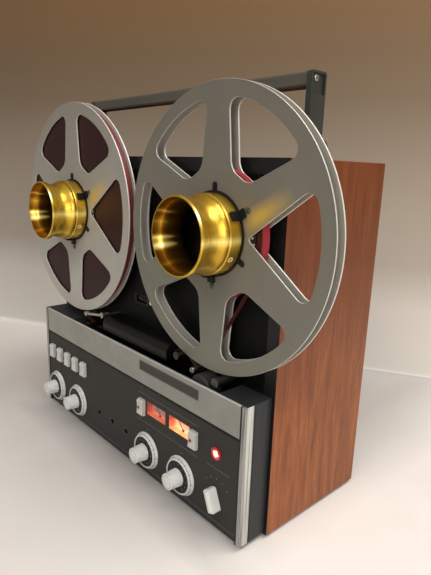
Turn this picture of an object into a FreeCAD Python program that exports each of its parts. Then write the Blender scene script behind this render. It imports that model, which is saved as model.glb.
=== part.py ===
import FreeCAD, Part
import math
import os
import Sketcher

# Driving sizes in millimetres and degrees. Heights are measured up from the underside of
# the wooden case and depths forwards from its front edge, except where a name says otherwise.
SIZES = {
    # Wooden case and what closes it
    "cabinet_width": 414,
    "cabinet_height": 358.5,
    "cabinet_depth": 147.4,
    "board_thickness": 14,
    "board_edge_round": 1.2,
    "foot_height": 3,
    "foot_radius": 9,
    "foot_inset": 24,
    "foot_draft": 12,
    "rear_panel_thickness": 3,
    "rear_panel_recess": 4,
    "fitting_clearance": 0.3,
    "vent_length": 84,
    "vent_height": 4,
    "vent_pitch": 11,
    "vent_count": 11,
    "vent_bottom": 205,
    "vent_inset": 20,
    "vent_corner": 1.6,
    # Sockets at the back
    "connector_width": 190,
    "connector_height": 44,
    "connector_left": -160,
    "connector_bottom": 28,
    "connector_thickness": 3,
    "connector_body_depth": 18,
    "inlet_width": 24,
    "inlet_height": 16,
    "inlet_depth": 14,
    "inlet_corner": 6.4,
    "inlet_pin_radius": 1.2,
    "inlet_pin_spacing": 9,
    "inlet_pin_shortfall": 1,
    "phono_radius": 4.1,
    "phono_bore": 1.7,
    "phono_length": 3.5,
    "phono_pitch": 22,
    "phono_columns": 6,
    "phono_row_gap": 18,
    # Steel frame inside
    "frame_sheet": 2.5,
    "side_plate_thickness": 3,
    "frame_rear_gap": 3.4,
    "frame_window_radius": 10,
    "tray_clearance": 0.2,
    # Deck
    "deck_setback": 1,
    "deck_thickness": 3,
    "deck_bottom": 100,
    "deck_rim_width": 2.4,
    "deck_rim_height": 0.8,
    # Carrying handle
    "handle_case_gap": 2.4,
    "handle_arm_thickness": 5.6,
    "handle_wall": 2,
    "handle_arm_front": 40,
    "handle_arm_width": 21,
    "handle_rise": 65.3,
    "handle_bar_height": 12.9,
    "handle_bar_wall": 2.5,
    "handle_bar_inset": 2,
    "handle_screw_recess": 2,
    "handle_screw_recess_height": 17,
    "pivot_back": 62,
    "pivot_rise": 9.5,
    "pivot_boss_radius": 9,
    "pivot_pin_radius": 4,
    "pivot_head_radius": 6,
    "handle_side_gap": 0.5,
    "pin_clearance": 0.2,
    # Control unit
    "unit_depth": 33.5,
    "unit_side_gap": 3.8,
    "trim_width": 6.2,
    "unit_bottom": 2,
    "unit_top": 144.7,
    "panel_bottom": 9.5,
    "panel_top": 112.2,
    "panel_thickness": 2,
    "strip_proud": 0.3,
    "trim_proud": 0.6,
    "trim_groove": 0.7,
    "housing_wall": 9,
    "housing_floor": 10,
    "channel_left_room": 29,
    "channel_right_room": 10,
    "channel_depth": 23.7,
    "channel_floor_thickness": 4,
    "channel_front_wall": 1.5,
    "nameplate_margin": 57.5,
    "nameplate_width": 101.9,
    "nameplate_height": 11.8,
    "nameplate_below_top": 5.7,
    "nameplate_recess": 0.8,
    # Push keys and record buttons
    "key_width": 10,
    "key_height": 19,
    "key_proud": 5.5,
    "key_bevel": 1.9,
    "key_hollow": 0.6,
    "key_count": 5,
    "key_pitch": 22.4,
    "key_first_margin": 15.4,
    "key_row_height": 84.3,
    "key_stem_length": 12,
    "key_clearance": 0.3,
    "record_button_reach": 45.6,
    # Double rotary controls
    "left_outer_ring_margin": 26.3,
    "left_inner_ring_margin": 87.6,
    "right_inner_ring_margin": 144.1,
    "right_outer_ring_margin": 82,
    "ring_row_height": 33.7,
    "ring_base_radius": 21.5,
    "ring_front_radius": 18.7,
    "ring_depth": 5.4,
    "ring_lip_width": 1.1,
    "ring_lip_depth": 0.8,
    "ring_edge": 1.2,
    "ring_seat": 0.3,
    "ring_sleeve_radius": 5.5,
    "sleeve_length": 14,
    "knob_base_radius": 9.6,
    "knob_front_radius": 8.6,
    "knob_front": 19.3,
    "knob_groove_width": 0.8,
    "knob_groove_depth": 0.5,
    "knob_cap_thickness": 1.4,
    "knob_flute_radius": 0.7,
    "knob_flute_count": 24,
    "shaft_radius": 3.1,
    "shaft_clearance": 0.3,
    # Selector
    "selector_margin": 28,
    "selector_height": 36.5,
    "selector_length": 23.7,
    "selector_width": 8.2,
    "selector_front": 11.5,
    "selector_tilt": 22.5,
    "selector_corner": 2.4,
    "selector_pitch": 1.5,
    "selector_end_bevel": 2.6,
    "selector_edge": 0.5,
    # Sockets on the panel
    "first_jack_margin": 143.1,
    "jack_pitch": 31.2,
    "jack_count": 3,
    "jack_height": 38,
    "jack_bore": 3.25,
    "jack_depth": 14,
    "jack_collar_radius": 5,
    "jack_flange_radius": 7.5,
    "jack_flange_thickness": 2,
    # Meters
    "meter_centre_margin": 107.7,
    "meter_width": 34,
    "meter_gap": 6.5,
    "meter_bottom": 78.5,
    "meter_top": 94.2,
    "meter_cavity_depth": 6,
    "meter_housing_depth": 17,
    "meter_margin": 2.8,
    "needle_length": 12,
    "needle_width": 0.8,
    "needle_thickness": 0.6,
    "needle_boss_radius": 1.6,
    "needle_pin_radius": 0.7,
    "needle_rest_tilt": 38,
    "needle_standoff": 1.5,
    # Lamp
    "lamp_margin": 29.6,
    "lamp_height": 84,
    "lamp_radius": 5,
    "lamp_bezel_radius": 6.6,
    "lamp_proud": 2.4,
    # Reels and their adapters
    "reel_gap": 8.1,
    "reel_above_unit": 11.45,
    "reel_front": 19.4,
    "reel_radius": 133.35,
    "flange_thickness": 1.6,
    "flange_gap": 8.7,
    "reel_bore": 38.1,
    "keyway_width": 3.5,
    "keyway_corner": 1.5,
    "keyway_reach": 45.5,
    "window_outer_radius": 119.8,
    "window_inner_radius": 60,
    "spoke_inner_radius": 55,
    "spoke_inner_half": 19.7,
    "spoke_outer_radius": 121,
    "spoke_outer_half": 13.5,
    "window_outer_round": 9,
    "window_inner_round": 7,
    "window_tip_round": 3,
    "hub_radius": 57,
    "tape_width": 6.35,
    "left_tape_radius": 125,
    "right_tape_radius": 68,
    "turntable_radius": 48,
    "turntable_thickness": 6,
    "spindle_radius": 4,
    "spindle_front": 6,
    "spindle_back": 36,
    "adapter_radius": 37.2,
    "adapter_front": 14,
    "adapter_wall": 5,
    "adapter_web": 10,
    "lug_width": 8,
    "lug_length": 10.6,
    "lug_thickness": 2.6,
    "lug_reach": 45.5,
    "lug_ring_thickness": 1.4,
    "lug_ring_radius": 39.4,
    "grip_gap": 0.5,
    "grip_shoulder_radius": 36.75,
    "grip_shoulder_front": 18,
    "grip_neck_radius": 32.25,
    "grip_neck_front": 29.6,
    "grip_bulge_radius": 35.5,
    "grip_bulge_front": 38.6,
    "grip_mouth_radius": 36.1,
    "grip_front": 44.6,
    "grip_wall": 2.1,
    "grip_step_radius": 27,
    "grip_step_front": 24,
    "grip_floor_radius": 20,
    "grip_floor_front": 19,
    "grip_stem_radius": 8,
    "grip_stem_back": 3,
    # Tape path
    "capstan_x": 118.5,
    "capstan_rise": 5.8,
    "capstan_radius": 3.5,
    "capstan_front": 26,
    "capstan_back": 30,
    "pinch_x": 134.5,
    "pinch_rise": -6.2,
    "pinch_radius": 13.5,
    "pinch_back": 11,
    "pinch_front": 25,
    "pinch_cap_thickness": 4,
    "pinch_axle_radius": 2.5,
    "pinch_pivot_x": 155,
    "pinch_pivot_rise": 5.3,
    "pinch_pivot_radius": 5,
    "pinch_arm_thickness": 4,
    "pinch_arm_front": 10,
    "pinch_nut_front": 28,
    "tension_pivot_x": -62,
    "tension_pivot_rise": 19.1,
    "tension_end_x": -103.6,
    "tension_reel_gap": 1.2,
    "tension_arm_thickness": 2,
    "tension_arm_half_width": 1.5,
    "tension_boss_radius": 3.6,
    "tension_boss_proud": 1,
    "tension_shaft_radius": 2.8,
    "tension_pin_radius": 3,
    "tension_pin_back": 8,
    "head_cover_left": -56.5,
    "head_cover_right": 75,
    "head_cover_rise": 2.3,
    "head_cover_height": 17,
    "head_cover_front": 25,
    "head_cover_wall": 2,
    "head_cover_round": 9,
    "tape_slot_height": 11,
    "head_base_left": -96,
    "head_base_right": 106,
    "head_base_drop": 18.7,
    "head_base_thickness": 4,
    "head_width": 15,
    "head_height": 8.5,
    "head_front": 22,
    "head_pitch": 34,
    "head_rise": 5.8,
    "guide_radius": 3,
    "guide_front": 28,
    "left_guide_x": -89.6,
    "left_guide_rise": -0.3,
    "right_guide_x": 95,
    "right_guide_rise": 14.8,
    "guide_flange_radius": 4.2,
    "guide_flange_thickness": 1.5,
    # Counter
    "counter_x": -8,
    "counter_height": 193,
    "counter_width": 30,
    "counter_tall": 12,
    "counter_window_width": 21,
    "counter_window_tall": 9,
    "counter_bezel_proud": 1,
    "counter_back": 17,
    "counter_wall": 2,
    "digit_wheel_radius": 4.1,
    "digit_wheel_width": 4.4,
    "digit_wheel_pitch": 5,
    "digit_wheel_count": 4,
    "digit_axle_radius": 1,
    "digit_axle_depth": 5,
    "reset_gap": 6,
    "reset_radius": 2.8,
    "reset_front": 3,
    "reset_back": 10,
    # Motors, transformer and boards inside
    "reel_motor_radius": 42,
    "reel_motor_length": 52,
    "reel_motor_cap_radius": 26,
    "reel_motor_cap_length": 9,
    "capstan_motor_radius": 27,
    "capstan_motor_length": 70,
    "transformer_width": 70,
    "transformer_height": 62,
    "transformer_depth": 56,
    "transformer_left": -172,
    "transformer_back": 46,
    "winding_margin": 9,
    "board_length": 200,
    "board_height": 84,
    "board_sheet": 1.6,
    "board_first_back": 30,
    "board_pitch": 26,
    "board_count": 3,
    "board_left": -60,
    "capacitor_radius": 6,
    "capacitor_length": 18,
    "capacitor_count": 5,
    "capacitor_height_share": 0.6,
}

# Degrees from one spoke of a reel to the next, and from the topmost spoke to a lug
SPOKE_STEP = 60

doc = FreeCAD.newDocument("tape_recorder")
sheet = doc.addObject("Spreadsheet::Sheet", "sizes")
for row, (alias, number) in enumerate(SIZES.items(), start=1):
    sheet.set(f"A{row}", alias)
    sheet.set(f"B{row}", str(number))
    sheet.setAlias(f"B{row}", alias)
doc.recompute()


class Size:
    """A number that remembers the sheet expression it comes from."""

    def __init__(self, value, text):
        self.value = value
        self.text = text

    def __add__(self, other):
        other = as_size(other)
        return Size(self.value + other.value, f"({self.text} + {other.text})")

    def __sub__(self, other):
        other = as_size(other)
        return Size(self.value - other.value, f"({self.text} - {other.text})")

    def __mul__(self, other):
        other = as_size(other)
        return Size(self.value * other.value, f"({self.text} * {other.text})")

    def __truediv__(self, other):
        other = as_size(other)
        return Size(self.value / other.value, f"({self.text} / {other.text})")

    def __radd__(self, other):
        return as_size(other) + self

    def __rsub__(self, other):
        return as_size(other) - self

    def __rmul__(self, other):
        return as_size(other) * self

    def __neg__(self):
        return as_size(0) - self


def as_size(number):
    if isinstance(number, Size):
        return number
    return Size(number, f"({number})")


def sine(angle):
    angle = as_size(angle)
    return Size(math.sin(math.radians(angle.value)), f"sin({angle.text} * 1 deg)")


def cosine(angle):
    angle = as_size(angle)
    return Size(math.cos(math.radians(angle.value)), f"cos({angle.text} * 1 deg)")


def root(number):
    return Size(math.sqrt(number.value), f"sqrt({number.text})")


class Sheet:
    """The sheet's cells by their names."""

    def __getattr__(self, alias):
        return Size(SIZES[alias], f"sizes.{alias}")


size = Sheet()
nodes = []
cuts = []

# Places that several pieces share. The model's origin is under the middle of the whole
# machine, whose foremost point is the mouth of the reel adapters.
case_front = -(size.cabinet_depth - size.reel_front - size.grip_front) / 2
case_half_width = size.cabinet_width / 2
inner_half_width = case_half_width - size.board_thickness
inner_top = size.cabinet_height - size.board_thickness
frame_front = size.deck_setback + size.deck_thickness
handle_outer = inner_half_width - size.handle_case_gap
frame_half_width = handle_outer - size.handle_arm_thickness - size.handle_side_gap
frame_bottom = size.board_thickness + size.tray_clearance
frame_top = inner_top - size.fitting_clearance
rear_panel_back = size.cabinet_depth - size.rear_panel_recess
frame_back = rear_panel_back - size.rear_panel_thickness - size.frame_rear_gap
handle_pivot_height = size.cabinet_height + size.pivot_rise
handle_top = handle_pivot_height + size.handle_rise
panel_back = size.unit_depth - size.panel_thickness
unit_half_width = case_half_width - size.unit_side_gap
panel_half_width = unit_half_width - size.trim_width
meter_centre = panel_half_width - size.meter_centre_margin
selector_x = panel_half_width - size.selector_margin
lamp_x = panel_half_width - size.lamp_margin
channel_front = panel_back - size.channel_front_wall
reel_x = size.reel_radius + size.reel_gap / 2
reel_height = size.unit_top + size.reel_above_unit + size.reel_radius
reel_back = -(size.flange_thickness * 2 + size.flange_gap)
capstan_height = size.unit_top + size.capstan_rise
pinch_height = size.unit_top + size.pinch_rise
pinch_pivot_height = size.unit_top + size.pinch_pivot_rise
tension_pivot_height = size.unit_top + size.tension_pivot_rise
left_guide_height = size.unit_top + size.left_guide_rise
right_guide_height = size.unit_top + size.right_guide_rise
head_cover_bottom = size.unit_top + size.head_cover_rise
head_cover_top = head_cover_bottom + size.head_cover_height
reset_x = size.counter_x + size.counter_width / 2 + size.reset_gap


def bind(item, path, number):
    """Set one property, by an expression where the number comes from the sheet."""
    if isinstance(number, Size):
        item.setExpression(path, number.text)
    else:
        setattr(item, path, number)


def place(item, x, y, z, axis=None, angle=None):
    """Put a piece at a point, turned about an axis where one is given."""
    corner = FreeCAD.Vector(*[as_size(value).value for value in (x, y, z)])
    turn = FreeCAD.Rotation()
    if axis is not None:
        turn = FreeCAD.Rotation(FreeCAD.Vector(*axis), as_size(angle).value)
    item.Placement = FreeCAD.Placement(corner, turn)
    for letter, value in zip("xyz", (x, y, z)):
        if isinstance(value, Size):
            item.setExpression(f"Placement.Base.{letter}", value.text)
    if isinstance(angle, Size):
        item.setExpression("Placement.Rotation.Angle", f"{angle.text} * 1 deg")


def new_body(label, x=0, y=0, z=0, axis=None, angle=None, node=True):
    item = doc.addObject("PartDesign::Body", label)
    item.Label = label
    place(item, x, y, z, axis, angle)
    if node:
        nodes.append(item)
    return item


def front_body(label, x=0, forward=0, height=0, axis=None, angle=None):
    """A body whose own origin lies on the case front edge, moved right, forwards and up."""
    y = case_front - forward
    z = size.foot_height + height
    return new_body(label, x, y, z, axis, angle)


def origin_part(owner, role):
    return next(item for item in owner.Origin.OriginFeatures if item.Role == role)


def new_sketch(owner, plane, offset=0, turn=0):
    """A sketch parallel to an origin plane; on XZ the offset runs forwards."""
    item = owner.newObject("Sketcher::SketchObject", "outline")
    item.AttachmentSupport = (origin_part(owner, plane), [""])
    item.MapMode = "FlatFace"
    spin = FreeCAD.Rotation(FreeCAD.Vector(0, 0, 1), turn)
    item.AttachmentOffset = FreeCAD.Placement(FreeCAD.Vector(0, 0, as_size(offset).value), spin)
    if isinstance(offset, Size):
        item.setExpression("AttachmentOffset.Base.z", offset.text)
    return item


def constrain(item, kind, places, number):
    index = item.addConstraint(Sketcher.Constraint(kind, *places, as_size(number).value))
    if isinstance(number, Size):
        item.setExpression(f"Constraints[{index}]", number.text)


def fix_point(item, geometry, end, x, y):
    constrain(item, "DistanceX", (-1, 1, geometry, end), x)
    constrain(item, "DistanceY", (-1, 1, geometry, end), y)


def circle(item, x, y, radius):
    centre = FreeCAD.Vector(as_size(x).value, as_size(y).value, 0)
    shape = Part.Circle(centre, FreeCAD.Vector(0, 0, 1), as_size(radius).value)
    index = item.addGeometry(shape, False)
    constrain(item, "Radius", (index,), radius)
    fix_point(item, index, 3, x, y)


def arc_between(start, end, radius):
    """An arc of signed radius; positive has its centre on the left of the way it runs."""
    chord = end - start
    middle = (start + end) / 2
    rise = math.sqrt(max(radius * radius - chord.Length ** 2 / 4, 0))
    left = FreeCAD.Vector(-chord.y, chord.x, 0).normalize()
    centre = middle + left * math.copysign(rise, radius)
    shape = Part.Circle(centre, FreeCAD.Vector(0, 0, 1), abs(radius))
    first, last = (start, end) if radius > 0 else (end, start)
    low = math.atan2(first.y - centre.y, first.x - centre.x)
    high = math.atan2(last.y - centre.y, last.x - centre.x)
    return Part.ArcOfCircle(shape, low, high)


def outline(item, points):
    """A closed outline. A third number in a point bends the side that leaves it."""
    corners = [FreeCAD.Vector(as_size(point[0]).value, as_size(point[1]).value, 0) for point in points]
    starts = []
    ends = []
    for index, point in enumerate(points):
        corner = corners[index]
        following = corners[(index + 1) % len(points)]
        if len(point) > 2:
            radius = as_size(point[2])
            geometry = item.addGeometry(arc_between(corner, following, radius.value), False)
            starts.append((geometry, 1 if radius.value > 0 else 2))
            ends.append((geometry, 2 if radius.value > 0 else 1))
        else:
            geometry = item.addGeometry(Part.LineSegment(corner, following), False)
            starts.append((geometry, 1))
            ends.append((geometry, 2))
    for index, point in enumerate(points):
        start = starts[(index + 1) % len(points)]
        item.addConstraint(Sketcher.Constraint("Coincident", *ends[index], *start))
        fix_point(item, *starts[index], point[0], point[1])
    for index, point in enumerate(points):
        if len(point) > 2:
            radius = as_size(point[2])
            length = radius if radius.value > 0 else -radius
            constrain(item, "Radius", (starts[index][0],), length)


def rectangle(item, left, bottom, right, top):
    outline(item, [(left, bottom), (right, bottom), (right, top), (left, top)])


def rounded_rectangle(item, left, bottom, right, top, radius):
    points = [
        (left + radius, bottom),
        (right - radius, bottom, radius),
        (right, bottom + radius),
        (right, top - radius, radius),
        (right - radius, top),
        (left + radius, top, radius),
        (left, top - radius),
        (left, bottom + radius, radius),
    ]
    outline(item, points)


def owner_of(item):
    return item.getParentGeoFeatureGroup()


def feature(item, kind, length):
    made = owner_of(item).newObject(kind, kind.split("::")[1].lower())
    made.Profile = item
    bind(made, "Length", length)
    return made


def pad(item, length, both=False, back=False, taper=0):
    made = feature(item, "PartDesign::Pad", length)
    made.Midplane = both
    made.Reversed = back
    bind(made, "TaperAngle", taper)
    return made


def pocket(item, length, both=False, back=False):
    """A cut that runs against the sketch's normal, or along it where back is set."""
    made = feature(item, "PartDesign::Pocket", length)
    made.Midplane = both
    made.Reversed = back
    cuts.append(made)
    return made


def lathe(owner, points):
    """A turned form about the piece's front-to-back axis, from (forwards, radius) points."""
    item = new_sketch(owner, "YZ_Plane")
    outline(item, [(-as_size(point[0]), *point[1:]) for point in points])
    made = owner.newObject("PartDesign::Revolution", "turned")
    made.Profile = item
    made.ReferenceAxis = (item, ["H_Axis"])
    made.Angle = 360
    return made


def around(made, count, role="Y_Axis"):
    """Repeat a feature round an axis of its body."""
    owner = owner_of(made)
    ring = owner.newObject("PartDesign::PolarPattern", "ring")
    ring.Originals = [made]
    ring.Axis = (origin_part(owner, role), [""])
    ring.Angle = 360
    bind(ring, "Occurrences", count)
    owner.Tip = ring
    return ring


def along(made, role, pitch, count):
    """Repeat a feature along an axis of its body at a pitch."""
    owner = owner_of(made)
    row = owner.newObject("PartDesign::LinearPattern", "row")
    row.Originals = [made]
    row.Direction = (origin_part(owner, role), [""])
    row.Mode = "Spacing"
    bind(row, "Offset", pitch)
    bind(row, "Occurrences", count)
    owner.Tip = row
    return row


def mirror(features, role="YZ_Plane"):
    owner = owner_of(features[0])
    twin = owner.newObject("PartDesign::Mirrored", "twin")
    twin.Originals = features
    twin.MirrorPlane = (origin_part(owner, role), [""])
    owner.Tip = twin
    return twin


def round_edges(owner, radius, wanted, kind="PartDesign::Fillet"):
    """Round or bevel the edges of a body that the given test picks."""
    doc.recompute()
    base = owner.Tip
    names = [f"Edge{index}" for index, edge in enumerate(base.Shape.Edges, start=1) if wanted(edge)]
    made = owner.newObject(kind, "edge")
    made.Base = (base, names)
    bind(made, "Radius" if kind.endswith("Fillet") else "Size", radius)
    return made


def runs_along(edge, letter):
    """True for a straight edge parallel to an axis."""
    if edge.Curve.TypeId != "Part::GeomLine":
        return False
    return abs(getattr(edge.Curve.Direction, letter)) > 0.999


def middle_of(edge):
    return edge.BoundBox.Center


def near(first, second):
    return abs(as_size(first).value - as_size(second).value) < 0.05


# Case

def make_wooden_cabinet():
    case = front_body("wooden_cabinet")
    boards = new_sketch(case, "XZ_Plane", -size.cabinet_depth)
    rectangle(boards, -case_half_width, 0, case_half_width, size.cabinet_height)
    rectangle(boards, -inner_half_width, size.board_thickness, inner_half_width, inner_top)
    pad(boards, size.cabinet_depth)
    slots = new_sketch(case, "XY_Plane", size.cabinet_height)
    front = size.pivot_back - size.pivot_boss_radius - size.fitting_clearance * 2
    back = size.pivot_back + size.pivot_boss_radius + size.fitting_clearance * 2
    inner = frame_half_width - size.side_plate_thickness - size.fitting_clearance
    outer = frame_half_width + size.fitting_clearance
    for left, right in ((inner, outer), (-outer, -inner)):
        rectangle(slots, left, front, right, back)
    pocket(slots, size.board_thickness + 1)

    def outer_corner(edge):
        return runs_along(edge, "y") and near(abs(middle_of(edge).x), case_half_width)

    round_edges(case, size.board_edge_round, outer_corner)


def make_feet():
    feet = front_body("feet", height=-size.foot_height)
    discs = new_sketch(feet, "XY_Plane", size.foot_height)
    x = case_half_width - size.foot_inset
    for across in (-x, x):
        for deep in (size.foot_inset, size.cabinet_depth - size.foot_inset):
            circle(discs, across, deep, size.foot_radius)
    pad(discs, size.foot_height, back=True, taper=-size.foot_draft)


def make_rear_panel():
    panel = front_body("rear_panel")
    sheet_outline = new_sketch(panel, "XZ_Plane", -rear_panel_back)
    half = inner_half_width - size.fitting_clearance
    low = size.board_thickness + size.fitting_clearance
    rectangle(sheet_outline, -half, low, half, inner_top - size.fitting_clearance)
    pad(sheet_outline, size.rear_panel_thickness)
    opening = new_sketch(panel, "XZ_Plane", -rear_panel_back + size.rear_panel_thickness)
    left = size.connector_left - size.fitting_clearance
    right = size.connector_left + size.connector_width + size.fitting_clearance
    low = size.connector_bottom - size.fitting_clearance
    high = size.connector_bottom + size.connector_height + size.fitting_clearance
    rectangle(opening, left, low, right, high)
    pocket(opening, size.rear_panel_thickness)
    vent = new_sketch(panel, "XZ_Plane", -rear_panel_back + size.rear_panel_thickness)
    half = size.vent_length / 2
    top = size.vent_bottom + size.vent_height
    reach = reel_x - size.vent_inset
    for middle in (-reach, 0, reach):
        rounded_rectangle(vent, middle - half, size.vent_bottom, middle + half, top, size.vent_corner)
    along(pocket(vent, size.rear_panel_thickness), "Z_Axis", size.vent_pitch, size.vent_count)


def make_connector_block():
    block = front_body("connector_block", size.connector_left, -rear_panel_back, size.connector_bottom)
    plate = new_sketch(block, "XZ_Plane")
    rectangle(plate, 0, 0, size.connector_width, size.connector_height)
    pad(plate, size.connector_thickness)
    inner = new_sketch(block, "XZ_Plane", size.connector_thickness)
    margin = size.connector_thickness
    rectangle(inner, margin, margin, size.connector_width - margin, size.connector_height - margin)
    pad(inner, size.connector_body_depth - size.connector_thickness)
    middle = size.connector_height / 2
    inlet = new_sketch(block, "XZ_Plane")
    inlet_left = size.connector_width - size.inlet_width - margin * 3
    inlet_right = inlet_left + size.inlet_width
    half = size.inlet_height / 2
    rounded_rectangle(inlet, inlet_left, middle - half, inlet_right, middle + half, size.inlet_corner)
    pocket(inlet, size.inlet_depth, back=True)
    pins = new_sketch(block, "XZ_Plane", size.inlet_depth)
    for side in (-1, 1):
        x = inlet_left + size.inlet_width / 2 + side * size.inlet_pin_spacing / 2
        circle(pins, x, middle, size.inlet_pin_radius)
    pad(pins, size.inlet_depth - size.inlet_pin_shortfall, back=True)
    sockets = new_sketch(block, "XZ_Plane")
    for side in (-1, 1):
        circle(sockets, size.phono_pitch, middle + side * size.phono_row_gap / 2, size.phono_radius)
    tubes = pad(sockets, size.phono_length, back=True)
    along(tubes, "X_Axis", size.phono_pitch, size.phono_columns)
    bores = new_sketch(block, "XZ_Plane", -size.phono_length)
    for side in (-1, 1):
        circle(bores, size.phono_pitch, middle + side * size.phono_row_gap / 2, size.phono_bore)
    along(pocket(bores, size.phono_length, back=True), "X_Axis", size.phono_pitch, size.phono_columns)


# Steel frame and what it holds

def make_chassis_frame():
    frame = front_body("chassis_frame")
    inner = frame_half_width - size.side_plate_thickness
    plate = new_sketch(frame, "YZ_Plane", inner)
    rectangle(plate, frame_front, frame_bottom, frame_back, frame_top)
    side = pad(plate, size.side_plate_thickness)
    ear = new_sketch(frame, "YZ_Plane", inner)
    ear_front = size.pivot_back - size.pivot_boss_radius
    ear_back = size.pivot_back + size.pivot_boss_radius
    rectangle(ear, ear_front, frame_top - 1, ear_back, handle_pivot_height)
    neck = pad(ear, size.side_plate_thickness)
    eye = new_sketch(frame, "YZ_Plane", inner)
    circle(eye, size.pivot_back, handle_pivot_height, size.pivot_boss_radius)
    head = pad(eye, size.side_plate_thickness)
    mirror([side, neck, head])
    front = new_sketch(frame, "XZ_Plane", -frame_front - size.frame_sheet)
    rectangle(front, -frame_half_width, frame_bottom, frame_half_width, frame_top)
    pad(front, size.frame_sheet)
    tray = new_sketch(frame, "XY_Plane", frame_bottom)
    rectangle(tray, -frame_half_width, frame_front, frame_half_width, frame_back)
    pad(tray, size.frame_sheet)
    holes = new_sketch(frame, "XZ_Plane", -frame_front)
    for x in (-reel_x, reel_x):
        circle(holes, x, reel_height, size.spindle_radius * 2)
    circle(holes, size.capstan_x, capstan_height, size.capstan_radius * 2)
    circle(holes, size.pinch_pivot_x, pinch_pivot_height, size.pinch_pivot_radius * 1.5)
    circle(holes, size.tension_pivot_x, tension_pivot_height, size.tension_shaft_radius * 2)
    low = frame_bottom + size.frame_sheet + size.frame_window_radius
    high = size.deck_bottom - size.frame_window_radius
    reach = unit_half_width - size.frame_window_radius * 4
    rounded_rectangle(holes, -reach, low, reach, high, size.frame_window_radius)
    half = size.counter_width / 2 + size.counter_wall
    tall = size.counter_tall / 2 + size.counter_wall
    x = size.counter_x
    rectangle(holes, x - half, size.counter_height - tall, x + half, size.counter_height + tall)
    circle(holes, reset_x, size.counter_height, size.reset_radius * 1.5)
    pocket(holes, size.frame_sheet)
    windows = new_sketch(frame, "YZ_Plane")
    middle = (frame_bottom + frame_top) / 2
    gap = size.frame_window_radius
    for bottom, top in ((frame_bottom + gap * 4, middle - gap), (middle + gap, frame_top - gap * 4)):
        rounded_rectangle(windows, frame_front + gap * 2, bottom, frame_back - gap * 2, top, gap)
    pocket(windows, frame_half_width * 2, both=True)
    pivot = new_sketch(frame, "YZ_Plane")
    circle(pivot, size.pivot_back, handle_pivot_height, size.pivot_pin_radius + size.pin_clearance)
    pocket(pivot, frame_half_width * 2, both=True)


def make_deck_plate():
    deck = front_body("deck_plate")
    half = inner_half_width - size.fitting_clearance
    top = inner_top - size.fitting_clearance
    plate = new_sketch(deck, "XZ_Plane", -frame_front)
    rectangle(plate, -half, size.deck_bottom, half, top)
    pad(plate, size.deck_thickness)
    rim = new_sketch(deck, "XZ_Plane", -size.deck_setback)
    width = size.deck_rim_width
    rectangle(rim, -half, size.deck_bottom, half, top)
    rectangle(rim, -half + width, size.deck_bottom + width, half - width, top - width)
    pad(rim, size.deck_rim_height)
    holes = new_sketch(deck, "XZ_Plane", -size.deck_setback)
    for x in (-reel_x, reel_x):
        circle(holes, x, reel_height, size.spindle_radius + size.shaft_clearance * 2)
    circle(holes, size.capstan_x, capstan_height, size.capstan_radius + size.shaft_clearance)
    pivot_radius = size.pinch_pivot_radius + size.shaft_clearance
    circle(holes, size.pinch_pivot_x, pinch_pivot_height, pivot_radius)
    pivot_radius = size.tension_shaft_radius + size.shaft_clearance
    circle(holes, size.tension_pivot_x, tension_pivot_height, pivot_radius)
    half = size.counter_width / 2 + size.fitting_clearance
    tall = size.counter_tall / 2 + size.fitting_clearance
    x = size.counter_x
    rectangle(holes, x - half, size.counter_height - tall, x + half, size.counter_height + tall)
    circle(holes, reset_x, size.counter_height, size.reset_radius + size.shaft_clearance)
    pocket(holes, size.deck_thickness)


def make_drive_motors():
    motors = front_body("drive_motors")
    back = frame_front + size.frame_sheet
    cans = new_sketch(motors, "XZ_Plane", -back)
    for x in (-reel_x, reel_x):
        circle(cans, x, reel_height, size.reel_motor_radius)
    pad(cans, size.reel_motor_length, back=True)
    caps = new_sketch(motors, "XZ_Plane", -back - size.reel_motor_length)
    for x in (-reel_x, reel_x):
        circle(caps, x, reel_height, size.reel_motor_cap_radius)
    pad(caps, size.reel_motor_cap_length, back=True)
    bores = new_sketch(motors, "XZ_Plane", -back)
    for x in (-reel_x, reel_x):
        circle(bores, x, reel_height, size.spindle_radius + size.shaft_clearance)
    pocket(bores, size.spindle_back)
    capstan_can = new_sketch(motors, "XZ_Plane", -back)
    circle(capstan_can, size.capstan_x, capstan_height, size.capstan_motor_radius)
    pad(capstan_can, size.capstan_motor_length, back=True)
    capstan_bore = new_sketch(motors, "XZ_Plane", -back)
    bore_radius = size.capstan_radius + size.shaft_clearance
    circle(capstan_bore, size.capstan_x, capstan_height, bore_radius)
    pocket(capstan_bore, size.capstan_back)


def make_mains_transformer():
    tray_top = frame_bottom + size.frame_sheet
    core = front_body("mains_transformer", size.transformer_left, -size.transformer_back, tray_top)
    stack = new_sketch(core, "XZ_Plane")
    rectangle(stack, 0, 0, size.transformer_width, size.transformer_height)
    pad(stack, size.transformer_depth, back=True)
    winding = new_sketch(core, "XZ_Plane", size.winding_margin)
    margin = size.winding_margin
    right = size.transformer_width - margin
    top = size.transformer_height - margin
    rounded_rectangle(winding, margin, margin, right, top, margin / 2)
    pad(winding, size.transformer_depth + margin * 2, back=True)


def make_circuit_boards():
    tray_top = frame_bottom + size.frame_sheet
    boards = front_body("circuit_boards", size.board_left, -size.board_first_back, tray_top)
    card = new_sketch(boards, "XZ_Plane")
    rectangle(card, 0, 0, size.board_length, size.board_height)
    along(pad(card, size.board_sheet, back=True), "Y_Axis", size.board_pitch, size.board_count)
    parts = new_sketch(boards, "XZ_Plane", -size.board_sheet)
    spacing = size.board_length / (size.capacitor_count + 1)
    high = size.board_height * size.capacitor_height_share
    for column in range(SIZES["capacitor_count"]):
        circle(parts, spacing * (column + 1), high, size.capacitor_radius)
    cans = pad(parts, size.capacitor_length, back=True)
    along(cans, "Y_Axis", size.board_pitch, size.board_count)


# Carrying handle

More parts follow.
